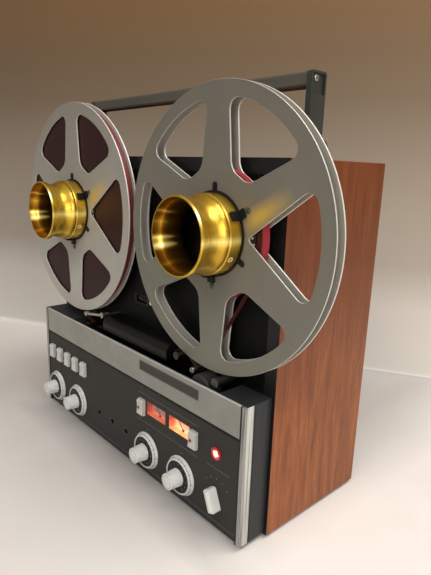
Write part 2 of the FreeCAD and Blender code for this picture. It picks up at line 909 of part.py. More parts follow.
def make_handle_arms():
    arms = front_body("handle_arms")
    inner = handle_outer - size.handle_arm_thickness
    back = size.handle_arm_front + size.handle_arm_width
    bottom = handle_pivot_height - size.pivot_boss_radius + 1
    plate = new_sketch(arms, "YZ_Plane", inner)
    rectangle(plate, size.handle_arm_front, bottom, back, handle_top)
    blade = pad(plate, size.handle_arm_thickness)
    eye = new_sketch(arms, "YZ_Plane", inner)
    circle(eye, size.pivot_back, handle_pivot_height, size.pivot_boss_radius)
    boss = pad(eye, size.handle_arm_thickness)
    pin_outline = new_sketch(arms, "YZ_Plane", inner)
    circle(pin_outline, size.pivot_back, handle_pivot_height, size.pivot_pin_radius)
    reach = size.handle_side_gap + size.side_plate_thickness + size.pin_clearance * 2
    pin = pad(pin_outline, reach, back=True)
    head_outline = new_sketch(arms, "YZ_Plane", inner - reach)
    circle(head_outline, size.pivot_back, handle_pivot_height, size.pivot_head_radius)
    head = pad(head_outline, size.handle_wall, back=True)
    wall = size.handle_wall
    hollow = new_sketch(arms, "YZ_Plane", inner)
    low = handle_pivot_height + size.pivot_boss_radius + wall
    high = handle_top - wall * 2 - size.handle_screw_recess_height
    rectangle(hollow, size.handle_arm_front + wall, low, back - wall, high)
    channel = pocket(hollow, size.handle_arm_thickness - wall, back=True)
    recess = new_sketch(arms, "YZ_Plane", handle_outer)
    high = handle_top - wall
    low = high - size.handle_screw_recess_height
    rectangle(recess, size.handle_arm_front + wall, low, back - wall, high)
    seat = pocket(recess, size.handle_screw_recess)
    mirror([blade, boss, pin, head, channel, seat])

    def top_corner(edge):
        return runs_along(edge, "x") and near(middle_of(edge).z, handle_top)

    round_edges(arms, wall, top_corner)


def make_handle_bar():
    bar = front_body("handle_bar")
    front = size.handle_arm_front + size.handle_bar_inset
    back = size.handle_arm_front + size.handle_arm_width - size.handle_bar_inset
    low = handle_top - size.handle_bar_height
    profile = new_sketch(bar, "YZ_Plane")
    rounded_rectangle(profile, front, low, back, handle_top, size.handle_bar_wall)
    half = handle_outer - size.handle_arm_thickness
    pad(profile, half * 2, both=True)
    hollow = new_sketch(bar, "YZ_Plane")
    wall = size.handle_bar_wall
    rectangle(hollow, front + wall, low, back - wall, handle_top - wall)
    pocket(hollow, half * 2, both=True)


# Control unit

def make_control_housing():
    housing = front_body("control_housing")
    block = new_sketch(housing, "XZ_Plane")
    half = unit_half_width
    rectangle(block, -half, size.unit_bottom, half, size.unit_top)
    pad(block, panel_back)
    cavity = new_sketch(housing, "XZ_Plane", panel_back)
    half = half - size.housing_wall
    low = size.unit_bottom + size.housing_floor
    floor = size.unit_top - size.channel_depth
    rectangle(cavity, -half, low, half, floor - size.channel_floor_thickness)
    pocket(cavity, panel_back)
    channel = new_sketch(housing, "XZ_Plane", channel_front)
    left = size.head_base_left - size.channel_left_room
    right = size.pinch_pivot_x + size.channel_right_room
    rectangle(channel, left, floor, right, size.unit_top)
    pocket(channel, channel_front)


def meter_windows():
    """Left and right edges of the two meter windows."""
    inner = size.meter_gap / 2
    outer = inner + size.meter_width
    middle = meter_centre
    return [(middle - outer, middle - inner), (middle + inner, middle + outer)]


def make_control_panel():
    panel = front_body("control_panel")
    half = panel_half_width
    face = new_sketch(panel, "XZ_Plane", panel_back)
    rectangle(face, -half, size.panel_bottom, half, size.panel_top)
    pad(face, size.panel_thickness)
    holes = new_sketch(panel, "XZ_Plane", size.unit_depth)
    for x in key_places() + record_places():
        key_hole(holes, x)
    for left, right in meter_windows():
        rectangle(holes, left, size.meter_bottom, right, size.meter_top)
    sleeve_hole = size.ring_sleeve_radius + size.shaft_clearance
    for x in ring_places().values():
        circle(holes, x, size.ring_row_height, sleeve_hole)
    for x in jack_places():
        circle(holes, x, size.jack_height, size.jack_collar_radius)
    circle(holes, lamp_x, size.lamp_height, size.lamp_radius)
    circle(holes, selector_x, size.selector_height, size.shaft_radius + size.shaft_clearance)
    pocket(holes, size.panel_thickness)


def key_hole(item, x):
    wide = size.key_width / 2 + size.key_clearance
    tall = size.key_height / 2 + size.key_clearance
    middle = size.key_row_height
    rectangle(item, x - wide, middle - tall, x + wide, middle + tall)


def key_places():
    first = size.key_first_margin - panel_half_width
    return [first + size.key_pitch * index for index in range(SIZES["key_count"])]


def record_places():
    reach = size.record_button_reach
    return [meter_centre - reach, meter_centre + reach]


def ring_places():
    return {
        "left_outer": size.left_outer_ring_margin - panel_half_width,
        "left_inner": size.left_inner_ring_margin - panel_half_width,
        "right_inner": panel_half_width - size.right_inner_ring_margin,
        "right_outer": panel_half_width - size.right_outer_ring_margin,
    }


def jack_places():
    first = size.first_jack_margin - panel_half_width
    return [first + size.jack_pitch * index for index in range(SIZES["jack_count"])]


def make_end_trims():
    trims = front_body("end_trims", height=size.unit_bottom)
    section = new_sketch(trims, "XY_Plane")
    left = panel_half_width
    right = unit_half_width
    back = -panel_back
    front = -(size.unit_depth + size.trim_proud)
    groove = front + size.trim_groove
    step = (right - left) / 5
    points = [
        (left, back),
        (left, front),
        (left + step, front),
        (left + step * 1.5, groove),
        (left + step * 2, front),
        (left + step * 3, front),
        (left + step * 3.5, groove),
        (left + step * 4, front),
        (right, front),
        (right, back),
    ]
    outline(section, points)
    strip = pad(section, size.unit_top - size.unit_bottom)
    mirror([strip])


def make_top_strip():
    strip = front_body("top_strip")
    half = panel_half_width
    front = size.unit_depth + size.strip_proud
    face = new_sketch(strip, "XZ_Plane", panel_back)
    rectangle(face, -half, size.panel_top, half, size.unit_top)
    pad(face, front - panel_back)
    plate = new_sketch(strip, "XZ_Plane", front)
    right = half - size.nameplate_margin
    top = size.unit_top - size.nameplate_below_top
    rectangle(plate, right - size.nameplate_width, top - size.nameplate_height, right, top)
    pocket(plate, size.nameplate_recess)

    def top_front(edge):
        place_of = middle_of(edge)
        return runs_along(edge, "x") and near(place_of.z, size.unit_top) and near(-place_of.y, front)

    round_edges(strip, size.panel_thickness / 2, top_front)


def make_key(label, x):
    """A push key with bevelled ends and a hollow face, on a stem behind the panel."""
    key = front_body(label, x, size.unit_depth, size.key_row_height)
    side = new_sketch(key, "YZ_Plane")
    half = size.key_height / 2
    bevel = size.key_bevel
    front = -size.key_proud
    chord = half - bevel
    hollow_radius = (chord * chord + size.key_hollow * size.key_hollow) / (size.key_hollow * 2)
    points = [
        (size.panel_thickness * 2, -half),
        (size.panel_thickness * 2, half),
        (front + bevel, half),
        (front, half - bevel, -hollow_radius),
        (front, bevel - half),
        (front + bevel, -half),
    ]
    outline(side, points)
    pad(side, size.key_width, both=True)
    stem = new_sketch(key, "XZ_Plane", -size.panel_thickness * 2)
    reach = size.key_width / 4
    rectangle(stem, -reach, -reach, reach, reach)
    pad(stem, size.key_stem_length, back=True)

    def long_front(edge):
        place_of = middle_of(edge)
        on_side = near(abs(place_of.x), size.key_width / 2)
        return on_side and -place_of.y > size.key_proud.value - size.key_bevel.value

    round_edges(key, size.key_hollow, long_front, "PartDesign::Chamfer")


def make_ring(label, x):
    """The outer ring of a double control: a conical skirt with a sunk dial and a sleeve."""
    ring = front_body(label, x, size.unit_depth, size.ring_row_height)
    lip = size.ring_front_radius - size.ring_lip_width
    dial = size.ring_depth - size.ring_lip_depth
    bore = size.shaft_radius + size.shaft_clearance
    points = [
        (size.ring_seat, size.ring_base_radius),
        (size.ring_edge, size.ring_base_radius),
        (size.ring_depth, size.ring_front_radius),
        (size.ring_depth, lip),
        (dial, lip),
        (dial, bore),
        (-size.sleeve_length, bore),
        (-size.sleeve_length, size.ring_sleeve_radius),
        (size.ring_seat, size.ring_sleeve_radius),
    ]
    lathe(ring, points)


def make_knob(label, x):
    """The inner knob of a double control, fluted, with a groove behind its cap."""
    knob = front_body(label, x, size.unit_depth, size.ring_row_height)
    base = size.ring_depth - size.ring_lip_depth + size.shaft_clearance
    cap = size.knob_front - size.knob_cap_thickness
    groove = cap - size.knob_groove_width
    sunk = size.knob_front_radius - size.knob_groove_depth
    points = [
        (base, size.knob_base_radius),
        (groove, size.knob_front_radius),
        (groove, sunk),
        (cap, sunk),
        (cap, size.knob_front_radius),
        (size.knob_front - size.knob_groove_depth, size.knob_front_radius),
        (size.knob_front, sunk),
        (size.knob_front, 0),
        (-size.sleeve_length - 2, 0),
        (-size.sleeve_length - 2, size.shaft_radius),
        (base, size.shaft_radius),
    ]
    lathe(knob, points)
    flute = new_sketch(knob, "XZ_Plane", groove)
    circle(flute, size.knob_base_radius, 0, size.knob_flute_radius)
    around(pocket(flute, groove - base), size.knob_flute_count)


def make_power_selector():
    """A bar knob with a pitched face and bevelled ends, which points to one of five places."""
    bar = front_body(
        "power_selector", selector_x, size.unit_depth, size.selector_height,
        (0, -1, 0), size.selector_tilt,
    )
    wide = size.selector_width / 2
    long = size.selector_length / 2
    eaves = size.selector_front - size.selector_pitch
    section = new_sketch(bar, "XY_Plane")
    points = [
        (-wide, -size.ring_seat),
        (-wide, -eaves),
        (0, -size.selector_front),
        (wide, -eaves),
        (wide, -size.ring_seat),
    ]
    outline(section, points)
    pad(section, size.selector_length, both=True)

    def corner(edge):
        return runs_along(edge, "y") and near(abs(middle_of(edge).x), wide)

    round_edges(bar, size.selector_corner, corner)
    bevel = size.selector_end_bevel
    ends = new_sketch(bar, "YZ_Plane", wide)
    for way in (-1, 1):
        outline(ends, [
            (-size.selector_front + bevel, way * long),
            (-size.selector_front, way * (long - bevel)),
            (-size.selector_front, way * long),
        ])
    pocket(ends, size.selector_width)
    shaft = new_sketch(bar, "XZ_Plane", size.ring_seat)
    circle(shaft, 0, 0, size.shaft_radius)
    pad(shaft, size.sleeve_length, back=True)

    def ridge(edge):
        straight = edge.Curve.TypeId == "Part::GeomLine"
        return straight and near(middle_of(edge).x, 0) and -middle_of(edge).y > eaves.value

    round_edges(bar, size.selector_edge, ridge)


def make_jack_sockets():
    sockets = front_body("jack_sockets", 0, size.unit_depth, size.jack_height)
    flanges = new_sketch(sockets, "XZ_Plane", -size.panel_thickness)
    collars = new_sketch(sockets, "XZ_Plane", -size.panel_thickness)
    bores = new_sketch(sockets, "XZ_Plane")
    for x in jack_places():
        circle(flanges, x, 0, size.jack_flange_radius)
        circle(collars, x, 0, size.jack_collar_radius)
        circle(bores, x, 0, size.jack_bore)
    pad(flanges, size.jack_depth + size.jack_flange_thickness, back=True)
    pad(collars, size.panel_thickness)
    pocket(bores, size.jack_depth)


def make_meter_housing():
    housing = front_body("meter_housing", 0, size.unit_depth)
    back = size.panel_thickness
    block = new_sketch(housing, "XZ_Plane", -back)
    windows = meter_windows()
    margin = size.meter_margin
    left = windows[0][0] - margin
    right = windows[1][1] + margin
    rectangle(block, left, size.meter_bottom - margin, right, size.meter_top + margin)
    pad(block, size.meter_housing_depth, back=True)
    cavity = new_sketch(housing, "XZ_Plane", -back)
    for low, high in windows:
        rectangle(cavity, low, size.meter_bottom, high, size.meter_top)
    pocket(cavity, size.meter_cavity_depth)
    pins = new_sketch(housing, "XZ_Plane", -back - size.meter_cavity_depth)
    for low, high in windows:
        circle(pins, (low + high) / 2, needle_height(), size.needle_pin_radius)
    pad(pins, size.needle_standoff + size.needle_thickness)


def needle_height():
    return size.meter_bottom + size.needle_boss_radius + size.fitting_clearance


def make_needle(label, window):
    """A thin pointer that swings over the meter scale about a pin near its foot."""
    left, right = window
    depth = size.unit_depth - size.panel_thickness - size.meter_cavity_depth + size.needle_standoff
    centre = (left + right) / 2
    needle = front_body(label, centre, depth, needle_height(), (0, -1, 0), size.needle_rest_tilt)
    blade = new_sketch(needle, "XZ_Plane")
    half = size.needle_width / 2
    tip = half / 2
    outline(blade, [(-half, 0), (half, 0), (tip, size.needle_length), (-tip, size.needle_length)])
    pad(blade, size.needle_thickness)
    boss = new_sketch(needle, "XZ_Plane")
    circle(boss, 0, 0, size.needle_boss_radius)
    pad(boss, size.needle_thickness)
    bore = new_sketch(needle, "XZ_Plane", size.needle_thickness)
    circle(bore, 0, 0, size.needle_pin_radius + size.pin_clearance)
    pocket(bore, size.needle_thickness)


def make_pilot_lamp():
    """A domed lens in a thin bezel."""
    lamp = front_body("pilot_lamp", lamp_x, size.unit_depth, size.lamp_height)
    rim = size.lamp_proud / 2
    dome = (size.lamp_radius * size.lamp_radius + rim * rim) / (rim * 2)
    points = [
        (size.lamp_proud, 0, dome),
        (rim, size.lamp_radius),
        (rim, size.lamp_bezel_radius),
        (0, size.lamp_bezel_radius),
        (0, size.lamp_radius),
        (-size.panel_thickness * 4, size.lamp_radius),
        (-size.panel_thickness * 4, 0),
    ]
    lathe(lamp, points)


# Reels

def reel_body(label, side):
    """A body with its origin on a reel's axis, at the front face of the reel."""
    return front_body(label, side * reel_x, size.reel_front, reel_height)


def make_turntable(label, side):
    table = reel_body(label, side)
    front = reel_back
    back = front - size.turntable_thickness
    rim = size.turntable_radius
    points = [
        (front, rim - 1),
        (front - 1, rim),
        (back + 1, rim),
        (back, rim - 1),
        (back, size.spindle_radius),
        (back - size.spindle_back, size.spindle_radius),
        (back - size.spindle_back, 0),
        (size.spindle_front, 0),
        (size.spindle_front, size.spindle_radius),
        (front, size.spindle_radius),
    ]
    lathe(table, points)


def make_adapter_base(label, side):
    """The cup that centres the reel: an open ring with a web near its back."""
    base = reel_body(label, side)
    web = reel_back + size.adapter_web
    inner = size.adapter_radius - size.adapter_wall
    bore = size.spindle_radius + size.pin_clearance
    points = [
        (reel_back, bore),
        (reel_back, size.adapter_radius),
        (size.adapter_front - 1, size.adapter_radius),
        (size.adapter_front, size.adapter_radius - 1),
        (size.adapter_front, inner),
        (web, inner),
        (web, bore),
    ]
    lathe(base, points)


def make_adapter_lugs(label, side):
    """Three lugs on a thin ring that hold the reel against its turntable."""
    lugs = reel_body(label, side)
    inner = size.adapter_radius + size.fitting_clearance / 3
    ring = [
        (0, inner),
        (0, size.lug_ring_radius),
        (size.lug_ring_thickness, size.lug_ring_radius),
        (size.lug_ring_thickness, inner),
    ]
    lathe(lugs, ring)
    side_view = new_sketch(lugs, "XZ_Plane", 0, SPOKE_STEP)
    half = size.lug_width / 2
    rectangle(side_view, -half, inner + size.lug_ring_thickness / 2, half, size.lug_reach)
    foot = pad(side_view, size.lug_thickness)
    upright_view = new_sketch(lugs, "XZ_Plane", 0, SPOKE_STEP)
    outer = size.adapter_radius + size.lug_thickness
    rectangle(upright_view, -half, inner + size.lug_ring_thickness / 4, half, outer)
    upright = pad(upright_view, size.lug_length)
    pattern = lugs.newObject("PartDesign::PolarPattern", "lug_ring")
    pattern.Originals = [foot, upright]
    pattern.Axis = (origin_part(lugs, "Y_Axis"), [""])
    pattern.Angle = 360
    pattern.Occurrences = 3
    lugs.Tip = pattern


def window_outline(item, pointed):
    """One window of a reel flange, drawn about the sketch's x axis."""
    inner = size.spoke_inner_radius
    outer = size.spoke_outer_radius
    aside = sine(SPOKE_STEP / 2)
    ahead = cosine(SPOKE_STEP / 2)
    near_x = inner * ahead + size.spoke_inner_half * aside
    near_y = inner * aside - size.spoke_inner_half * ahead
    far_x = outer * ahead + size.spoke_outer_half * aside
    far_y = outer * aside - size.spoke_outer_half * ahead
    slope = (far_y - near_y) / (far_x - near_x)
    tip = near_x - near_y / slope
    outer_x, outer_y = side_meets_circle(slope, tip, size.window_outer_radius)
    if pointed:
        outline(item, [(tip, 0), (outer_x, -outer_y, size.window_outer_radius), (outer_x, outer_y)])
        return
    inner_x, inner_y = side_meets_circle(slope, tip, size.window_inner_radius)
    points = [
        (inner_x, -inner_y),
        (outer_x, -outer_y, size.window_outer_radius),
        (outer_x, outer_y),
        (inner_x, inner_y, -size.window_inner_radius),
    ]
    outline(item, points)


def side_meets_circle(slope, tip, radius):
    """Where a spoke's side, a line through the window's tip, crosses a circle."""
    square = slope * slope
    inside = square * square * tip * tip - (1 + square) * (square * tip * tip - radius * radius)
    x = (square * tip + root(inside)) / (1 + square)
    return x, slope * (x - tip)


def make_flange(label, back):
    """A reel flange with two pointed and four blunt windows and a keyed bore."""
    flange = new_body(label, node=False)
    disc = new_sketch(flange, "XZ_Plane", back)
    circle(disc, 0, 0, size.reel_radius)
    circle(disc, 0, 0, size.reel_bore)
    pad(disc, size.flange_thickness)
    front = back + size.flange_thickness
    for turn, pointed in ((0, True), (SPOKE_STEP, False), (SPOKE_STEP * 2, False)):
        window = new_sketch(flange, "XZ_Plane", front, turn)
        window_outline(window, pointed)
        around(pocket(window, size.flange_thickness), 2)
    cut_keyways(flange, front, size.flange_thickness)
    radii = {
        size.window_outer_radius: size.window_outer_round,
        size.window_inner_radius: size.window_inner_round,
    }

    def corner_at(radius):
        def wanted(edge):
            centre = middle_of(edge)
            return runs_along(edge, "y") and near(math.hypot(centre.x, centre.z), radius)
        return wanted

    for radius, rounding in radii.items():
        round_edges(flange, rounding, corner_at(radius))

    def at_tip(edge):
        centre = middle_of(edge)
        straight_out = abs(centre.z) < 0.05 and abs(centre.x) > size.reel_bore.value + 0.5
        return runs_along(edge, "y") and straight_out

    round_edges(flange, size.window_tip_round, at_tip)
    return flange


def cut_keyways(owner, front, depth):
    """Three round-ended keyways round a reel's bore, the first at the top."""
    slot = new_sketch(owner, "XZ_Plane", front)
    half = size.keyway_width / 2
    inner = size.reel_bore - size.keyway_width
    rounded_rectangle(slot, -half, inner, half, size.keyway_reach, size.keyway_corner)
    around(pocket(slot, depth), 3)


def make_reel_flanges(label, side, flanges):
    pair = doc.addObject("Part::Compound", label)
    pair.Label = label
    pair.Links = flanges
    place(pair, side * reel_x, case_front - size.reel_front, size.foot_height + reel_height)
    nodes.append(pair)


def make_reel_hub(label, side):
    hub = reel_body(label, side)
    front = -size.flange_thickness
    ring = new_sketch(hub, "XZ_Plane", front - size.flange_gap)
    circle(ring, 0, 0, size.hub_radius)
    circle(ring, 0, 0, size.reel_bore)
    pad(ring, size.flange_gap)
    cut_keyways(hub, front, size.flange_gap)


def make_tape_pack(label, side, radius):
    pack = reel_body(label, side)
    middle = -size.flange_thickness - size.flange_gap / 2
    ring = new_sketch(pack, "XZ_Plane", middle - size.tape_width / 2)
    circle(ring, 0, 0, radius)
    circle(ring, 0, 0, size.hub_radius)
    pad(ring, size.tape_width)


def make_adapter_grip(label, side):
    """The waisted funnel that turns to lock the adapter."""
    grip = reel_body(label, side)
    back = size.adapter_front + size.grip_gap
    wall = size.grip_wall
    points = [
        (back, size.grip_stem_radius),
        (back, size.adapter_radius - size.adapter_wall / 2),
        (back + 1, size.grip_shoulder_radius),
        (size.grip_shoulder_front, size.grip_shoulder_radius),
        (size.grip_neck_front, size.grip_neck_radius, size.grip_neck_front),
        (size.grip_bulge_front, size.grip_bulge_radius),
        (size.grip_front - wall / 2, size.grip_mouth_radius),
        (size.grip_front, size.grip_mouth_radius - wall / 2),
        (size.grip_front, size.grip_mouth_radius - wall),
        (size.grip_bulge_front, size.grip_bulge_radius - wall),
        (size.grip_neck_front, size.grip_neck_radius - wall),
        (size.grip_step_front, size.grip_step_radius),
        (size.grip_floor_front, size.grip_step_radius),
        (size.grip_floor_front, size.grip_floor_radius),
        (size.grip_floor_front - wall, size.grip_floor_radius),
        (size.grip_floor_front - wall, 0),
        (size.grip_stem_back + size.spindle_front, 0),
        (size.grip_stem_back + size.spindle_front, size.grip_stem_radius),
    ]
    lathe(grip, points)


# Tape path

def make_capstan():
    shaft = front_body("capstan", size.capstan_x, 0, capstan_height)
    back = frame_front + size.frame_sheet
    points = [
        (size.capstan_front, 0),
        (size.capstan_front, size.capstan_radius - 0.5),
        (size.capstan_front - 0.5, size.capstan_radius),
        (-back - size.capstan_back + 1, size.capstan_radius),
        (-back - size.capstan_back + 1, 0),
    ]
    lathe(shaft, points)


def make_pinch_arm():
    """A plate on a pivot post, with the axle that the rubber roller turns on."""
    arm = front_body("pinch_arm")
    pivot_x = size.pinch_pivot_x
    pivot_height = pinch_pivot_height
    front = size.pinch_arm_front
    back = front - size.pinch_arm_thickness
    across = pivot_x - size.pinch_x
    down = pivot_height - pinch_height
    length = root(across * across + down * down)
    wide_x = down / length * size.pinch_pivot_radius
    wide_z = across / length * size.pinch_pivot_radius
    link = new_sketch(arm, "XZ_Plane", back)
    points = [
        (size.pinch_x - wide_x, pinch_height + wide_z),
        (size.pinch_x + wide_x, pinch_height - wide_z),
        (pivot_x + wide_x, pivot_height - wide_z),
        (pivot_x - wide_x, pivot_height + wide_z),
    ]
    outline(link, points)
    pad(link, size.pinch_arm_thickness)
    rounds = new_sketch(arm, "XZ_Plane", back)
    circle(rounds, size.pinch_x, pinch_height, size.pinch_pivot_radius)
    pad(rounds, size.pinch_arm_thickness)
    post = new_sketch(arm, "XZ_Plane", -frame_front)
    circle(post, pivot_x, pivot_height, size.pinch_pivot_radius)
    pad(post, frame_front + size.pinch_nut_front)
    axle = new_sketch(arm, "XZ_Plane", front)
    circle(axle, size.pinch_x, pinch_height, size.pinch_axle_radius)
    pad(axle, size.pinch_front - front)


def make_pinch_roller():
    roller = front_body("pinch_roller", size.pinch_x, 0, pinch_height)
    bore = size.pinch_axle_radius + size.pin_clearance
    cap = size.pinch_front + size.pinch_cap_thickness
    points = [
        (size.pinch_back, bore),
        (size.pinch_back, size.pinch_radius - 1),
        (size.pinch_back + 1, size.pinch_radius),
        (size.pinch_front, size.pinch_radius),
        (cap - 1, size.pinch_radius),
        (cap, size.pinch_radius - 1),
        (cap, 0),
        (size.pinch_front + size.shaft_clearance, 0),
        (size.pinch_front + size.shaft_clearance, bore),
    ]
    lathe(roller, points)


def make_tension_arm():
    """A sprung lever that carries a guide pin at its free end."""
    arm = front_body("tension_arm")
    pivot_x = size.tension_pivot_x
    pivot_height = tension_pivot_height
    end_x = size.tension_end_x
    clear = size.reel_radius + size.tension_reel_gap + size.tension_pin_radius
    aside = reel_x + end_x
    end_height = reel_height - root(clear * clear - aside * aside)
    across = pivot_x - end_x
    down = pivot_height - end_height
    length = root(across * across + down * down)
    wide_x = down / length * size.tension_arm_half_width
    wide_z = across / length * size.tension_arm_half_width
    back = size.reel_front + size.tension_reel_gap
    front = back + size.tension_arm_thickness
    lever = new_sketch(arm, "XZ_Plane", back)
    points = [
        (end_x - wide_x, end_height + wide_z),
        (end_x + wide_x, end_height - wide_z),
        (pivot_x + wide_x, pivot_height - wide_z),
        (pivot_x - wide_x, pivot_height + wide_z),
    ]
    outline(lever, points)
    pad(lever, size.tension_arm_thickness)
    boss = new_sketch(arm, "XZ_Plane", back)
    circle(boss, pivot_x, pivot_height, size.tension_boss_radius)
    pad(boss, size.tension_arm_thickness + size.tension_boss_proud)
    shaft = new_sketch(arm, "XZ_Plane", -frame_front)
    circle(shaft, pivot_x, pivot_height, size.tension_shaft_radius)
    pad(shaft, frame_front + back)
    pin = new_sketch(arm, "XZ_Plane", size.tension_pin_back)
    circle(pin, end_x, end_height, size.tension_pin_radius)
    pad(pin, front + size.tension_boss_proud - size.tension_pin_back)


def make_head_cover():
    """A moulded hood over the heads, open below, notched at both ends for the tape."""
    cover = front_body("head_cover")
    wall = size.head_cover_wall
    left = size.head_cover_left
    right = size.head_cover_right
    block = new_sketch(cover, "XZ_Plane", -size.deck_setback)
    rectangle(block, left, head_cover_bottom, right, head_cover_top)
    pad(block, size.head_cover_front + size.deck_setback)

    def top_front(edge):
        centre = middle_of(edge)
        high = near(centre.z, head_cover_top)
        return runs_along(edge, "x") and high and near(-centre.y, size.head_cover_front)

    round_edges(cover, size.head_cover_round, top_front)
    hollow = new_sketch(cover, "XY_Plane", head_cover_bottom)
    front = -size.head_cover_front + wall
    rectangle(hollow, left + wall, front, right - wall, size.deck_setback)
    inside = size.head_cover_height - wall * 2
    pocket(hollow, inside, back=True)
    slots = new_sketch(cover, "YZ_Plane", right)
    slot_front = size.reel_front - size.flange_thickness
    slot_top = head_cover_bottom + size.tape_slot_height
    rectangle(slots, -slot_front, head_cover_bottom, size.flange_gap - slot_front, slot_top)
    pocket(slots, right - left)


def make_head_block():
    """The plate that carries the heads, with two fixed tape guides."""
    block = front_body("head_block")
    back = -size.deck_setback
    plate = new_sketch(block, "XZ_Plane", back)
    inner_left = size.head_cover_left + size.head_cover_wall + size.fitting_clearance
    inner_right = size.head_cover_right - size.head_cover_wall - size.fitting_clearance
    top = head_cover_top - size.head_cover_wall * 2 - size.fitting_clearance
    low = size.unit_top - size.head_base_drop
    shoulder = head_cover_bottom - size.fitting_clearance
    post_left = size.head_cover_right + size.fitting_clearance
    post_top = right_guide_height + size.guide_flange_radius
    points = [
        (size.head_base_left, low),
        (size.head_base_right, low),
        (size.head_base_right, post_top),
        (post_left, post_top),
        (post_left, shoulder),
        (inner_right, shoulder),
        (inner_right, top),
        (inner_left, top),
        (inner_left, shoulder),
        (size.head_base_left, shoulder),
    ]
    outline(plate, points)
    pad(plate, size.head_base_thickness)
    posts = new_sketch(block, "XZ_Plane", back)
    circle(posts, size.left_guide_x, left_guide_height, size.guide_radius)
    circle(posts, size.right_guide_x, right_guide_height, size.guide_radius)
    pad(posts, size.guide_front + size.deck_setback)
    tips = new_sketch(block, "XZ_Plane", size.guide_front)
    circle(tips, size.left_guide_x, left_guide_height, size.guide_flange_radius)
    circle(tips, size.right_guide_x, right_guide_height, size.guide_flange_radius)
    pad(tips, size.guide_flange_thickness, back=True)


def make_tape_heads():
    """Erase, record and playback heads with rounded faces towards the tape below."""
    heads = front_body("tape_heads")
    back = size.head_base_thickness - size.deck_setback
    cans = new_sketch(heads, "XZ_Plane", back)
    half = size.head_width / 2
    bottom = size.unit_top + size.head_rise
    shoulder = bottom + size.head_height / 3
    top = bottom + size.head_height
    middle = (size.head_cover_left + size.head_cover_right) / 2
    for index in (-1, 0, 1):
        x = middle + size.head_pitch * index
        points = [
            (x - half, shoulder),
            (x - half / 3, bottom, half),
            (x + half / 3, bottom),
            (x + half, shoulder),
            (x + half, top),
            (x - half, top),
        ]
        outline(cans, points)
    pad(cans, size.head_front - back)


# Counter

def make_tape_counter():
    """A counter case with an open window and holes for the digit wheels' axle."""
    case = front_body("tape_counter", size.counter_x, -size.deck_setback, size.counter_height)
    block = new_sketch(case, "XZ_Plane", size.counter_bezel_proud)
    half = size.counter_width / 2
    tall = size.counter_tall / 2
    rounded_rectangle(block, -half, -tall, half, tall, size.counter_wall / 2)
    pad(block, size.counter_back, back=True)
    window = new_sketch(case, "XZ_Plane", size.counter_bezel_proud)
    half = size.counter_window_width / 2
    tall = size.counter_window_tall / 2
    rectangle(window, -half, -tall, half, tall)
    pocket(window, size.counter_back - size.counter_wall)
    axle = new_sketch(case, "YZ_Plane")
    circle(axle, size.digit_axle_depth, 0, size.digit_axle_radius + size.pin_clearance)
    pocket(axle, size.counter_width - size.counter_wall, both=True)


def make_counter_wheels():
    """Four digit wheels on one axle."""
    wheels = front_body("counter_wheels", size.counter_x, -size.deck_setback, size.counter_height)
    first = size.digit_wheel_pitch * (size.digit_wheel_count - 1) / 2
    rim = new_sketch(wheels, "YZ_Plane", -first - size.digit_wheel_width / 2)
    circle(rim, size.digit_axle_depth, 0, size.digit_wheel_radius)
    along(pad(rim, size.digit_wheel_width), "X_Axis", size.digit_wheel_pitch, size.digit_wheel_count)
    axle = new_sketch(wheels, "YZ_Plane")
    circle(axle, size.digit_axle_depth, 0, size.digit_axle_radius)
    pad(axle, size.counter_width - size.counter_wall * 2, both=True)


def make_counter_reset_button():
    button = front_body("counter_reset_button", reset_x, -size.deck_setback, size.counter_height)
    points = [
        (size.reset_front, 0),
        (size.reset_front, size.reset_radius - 0.5),
        (size.reset_front - 0.5, size.reset_radius),
        (-size.reset_back, size.reset_radius),
        (-size.reset_back, 0),
    ]
    lathe(button, points)


def make_everything():
    make_wooden_cabinet()
    make_feet()
    make_rear_panel()
    make_connector_block()
    make_chassis_frame()
    make_deck_plate()
    make_drive_motors()
    make_mains_transformer()
    make_circuit_boards()
    make_handle_arms()
    make_handle_bar()
    make_control_housing()
    make_control_panel()
    make_end_trims()
    make_top_strip()
    for index, x in enumerate(key_places(), start=1):
        make_key(f"transport_key_{index}", x)
    for side, x in zip(("left", "right"), record_places()):
        make_key(f"{side}_record_button", x)
    for name, x in ring_places().items():
        make_ring(f"{name}_ring", x)
        make_knob(f"{name}_knob", x)
    make_power_selector()
    make_jack_sockets()
    make_meter_housing()
    for side, window in zip(("left", "right"), meter_windows()):
        make_needle(f"{side}_meter_needle", window)
    make_pilot_lamp()
    flanges = [
        make_flange("front_flange", -size.flange_thickness),
        make_flange("rear_flange", reel_back),
    ]
    tape_radii = {"left": size.left_tape_radius, "right": size.right_tape_radius}
    for name, side in (("left", -1), ("right", 1)):
        make_turntable(f"{name}_turntable", side)
        make_adapter_base(f"{name}_adapter_base", side)
        make_adapter_lugs(f"{name}_adapter_lugs", side)
        make_reel_flanges(f"{name}_reel_flanges", side, flanges)
        make_reel_hub(f"{name}_reel_hub", side)
        make_tape_pack(f"{name}_tape_pack", side, tape_radii[name])
        make_adapter_grip(f"{name}_adapter_grip", side)
    make_capstan()
    make_pinch_arm()
    make_pinch_roller()
    make_tension_arm()
    make_head_cover()
    make_head_block()
    make_tape_heads()
    make_tape_counter()
    make_counter_wheels()
    make_counter_reset_button()


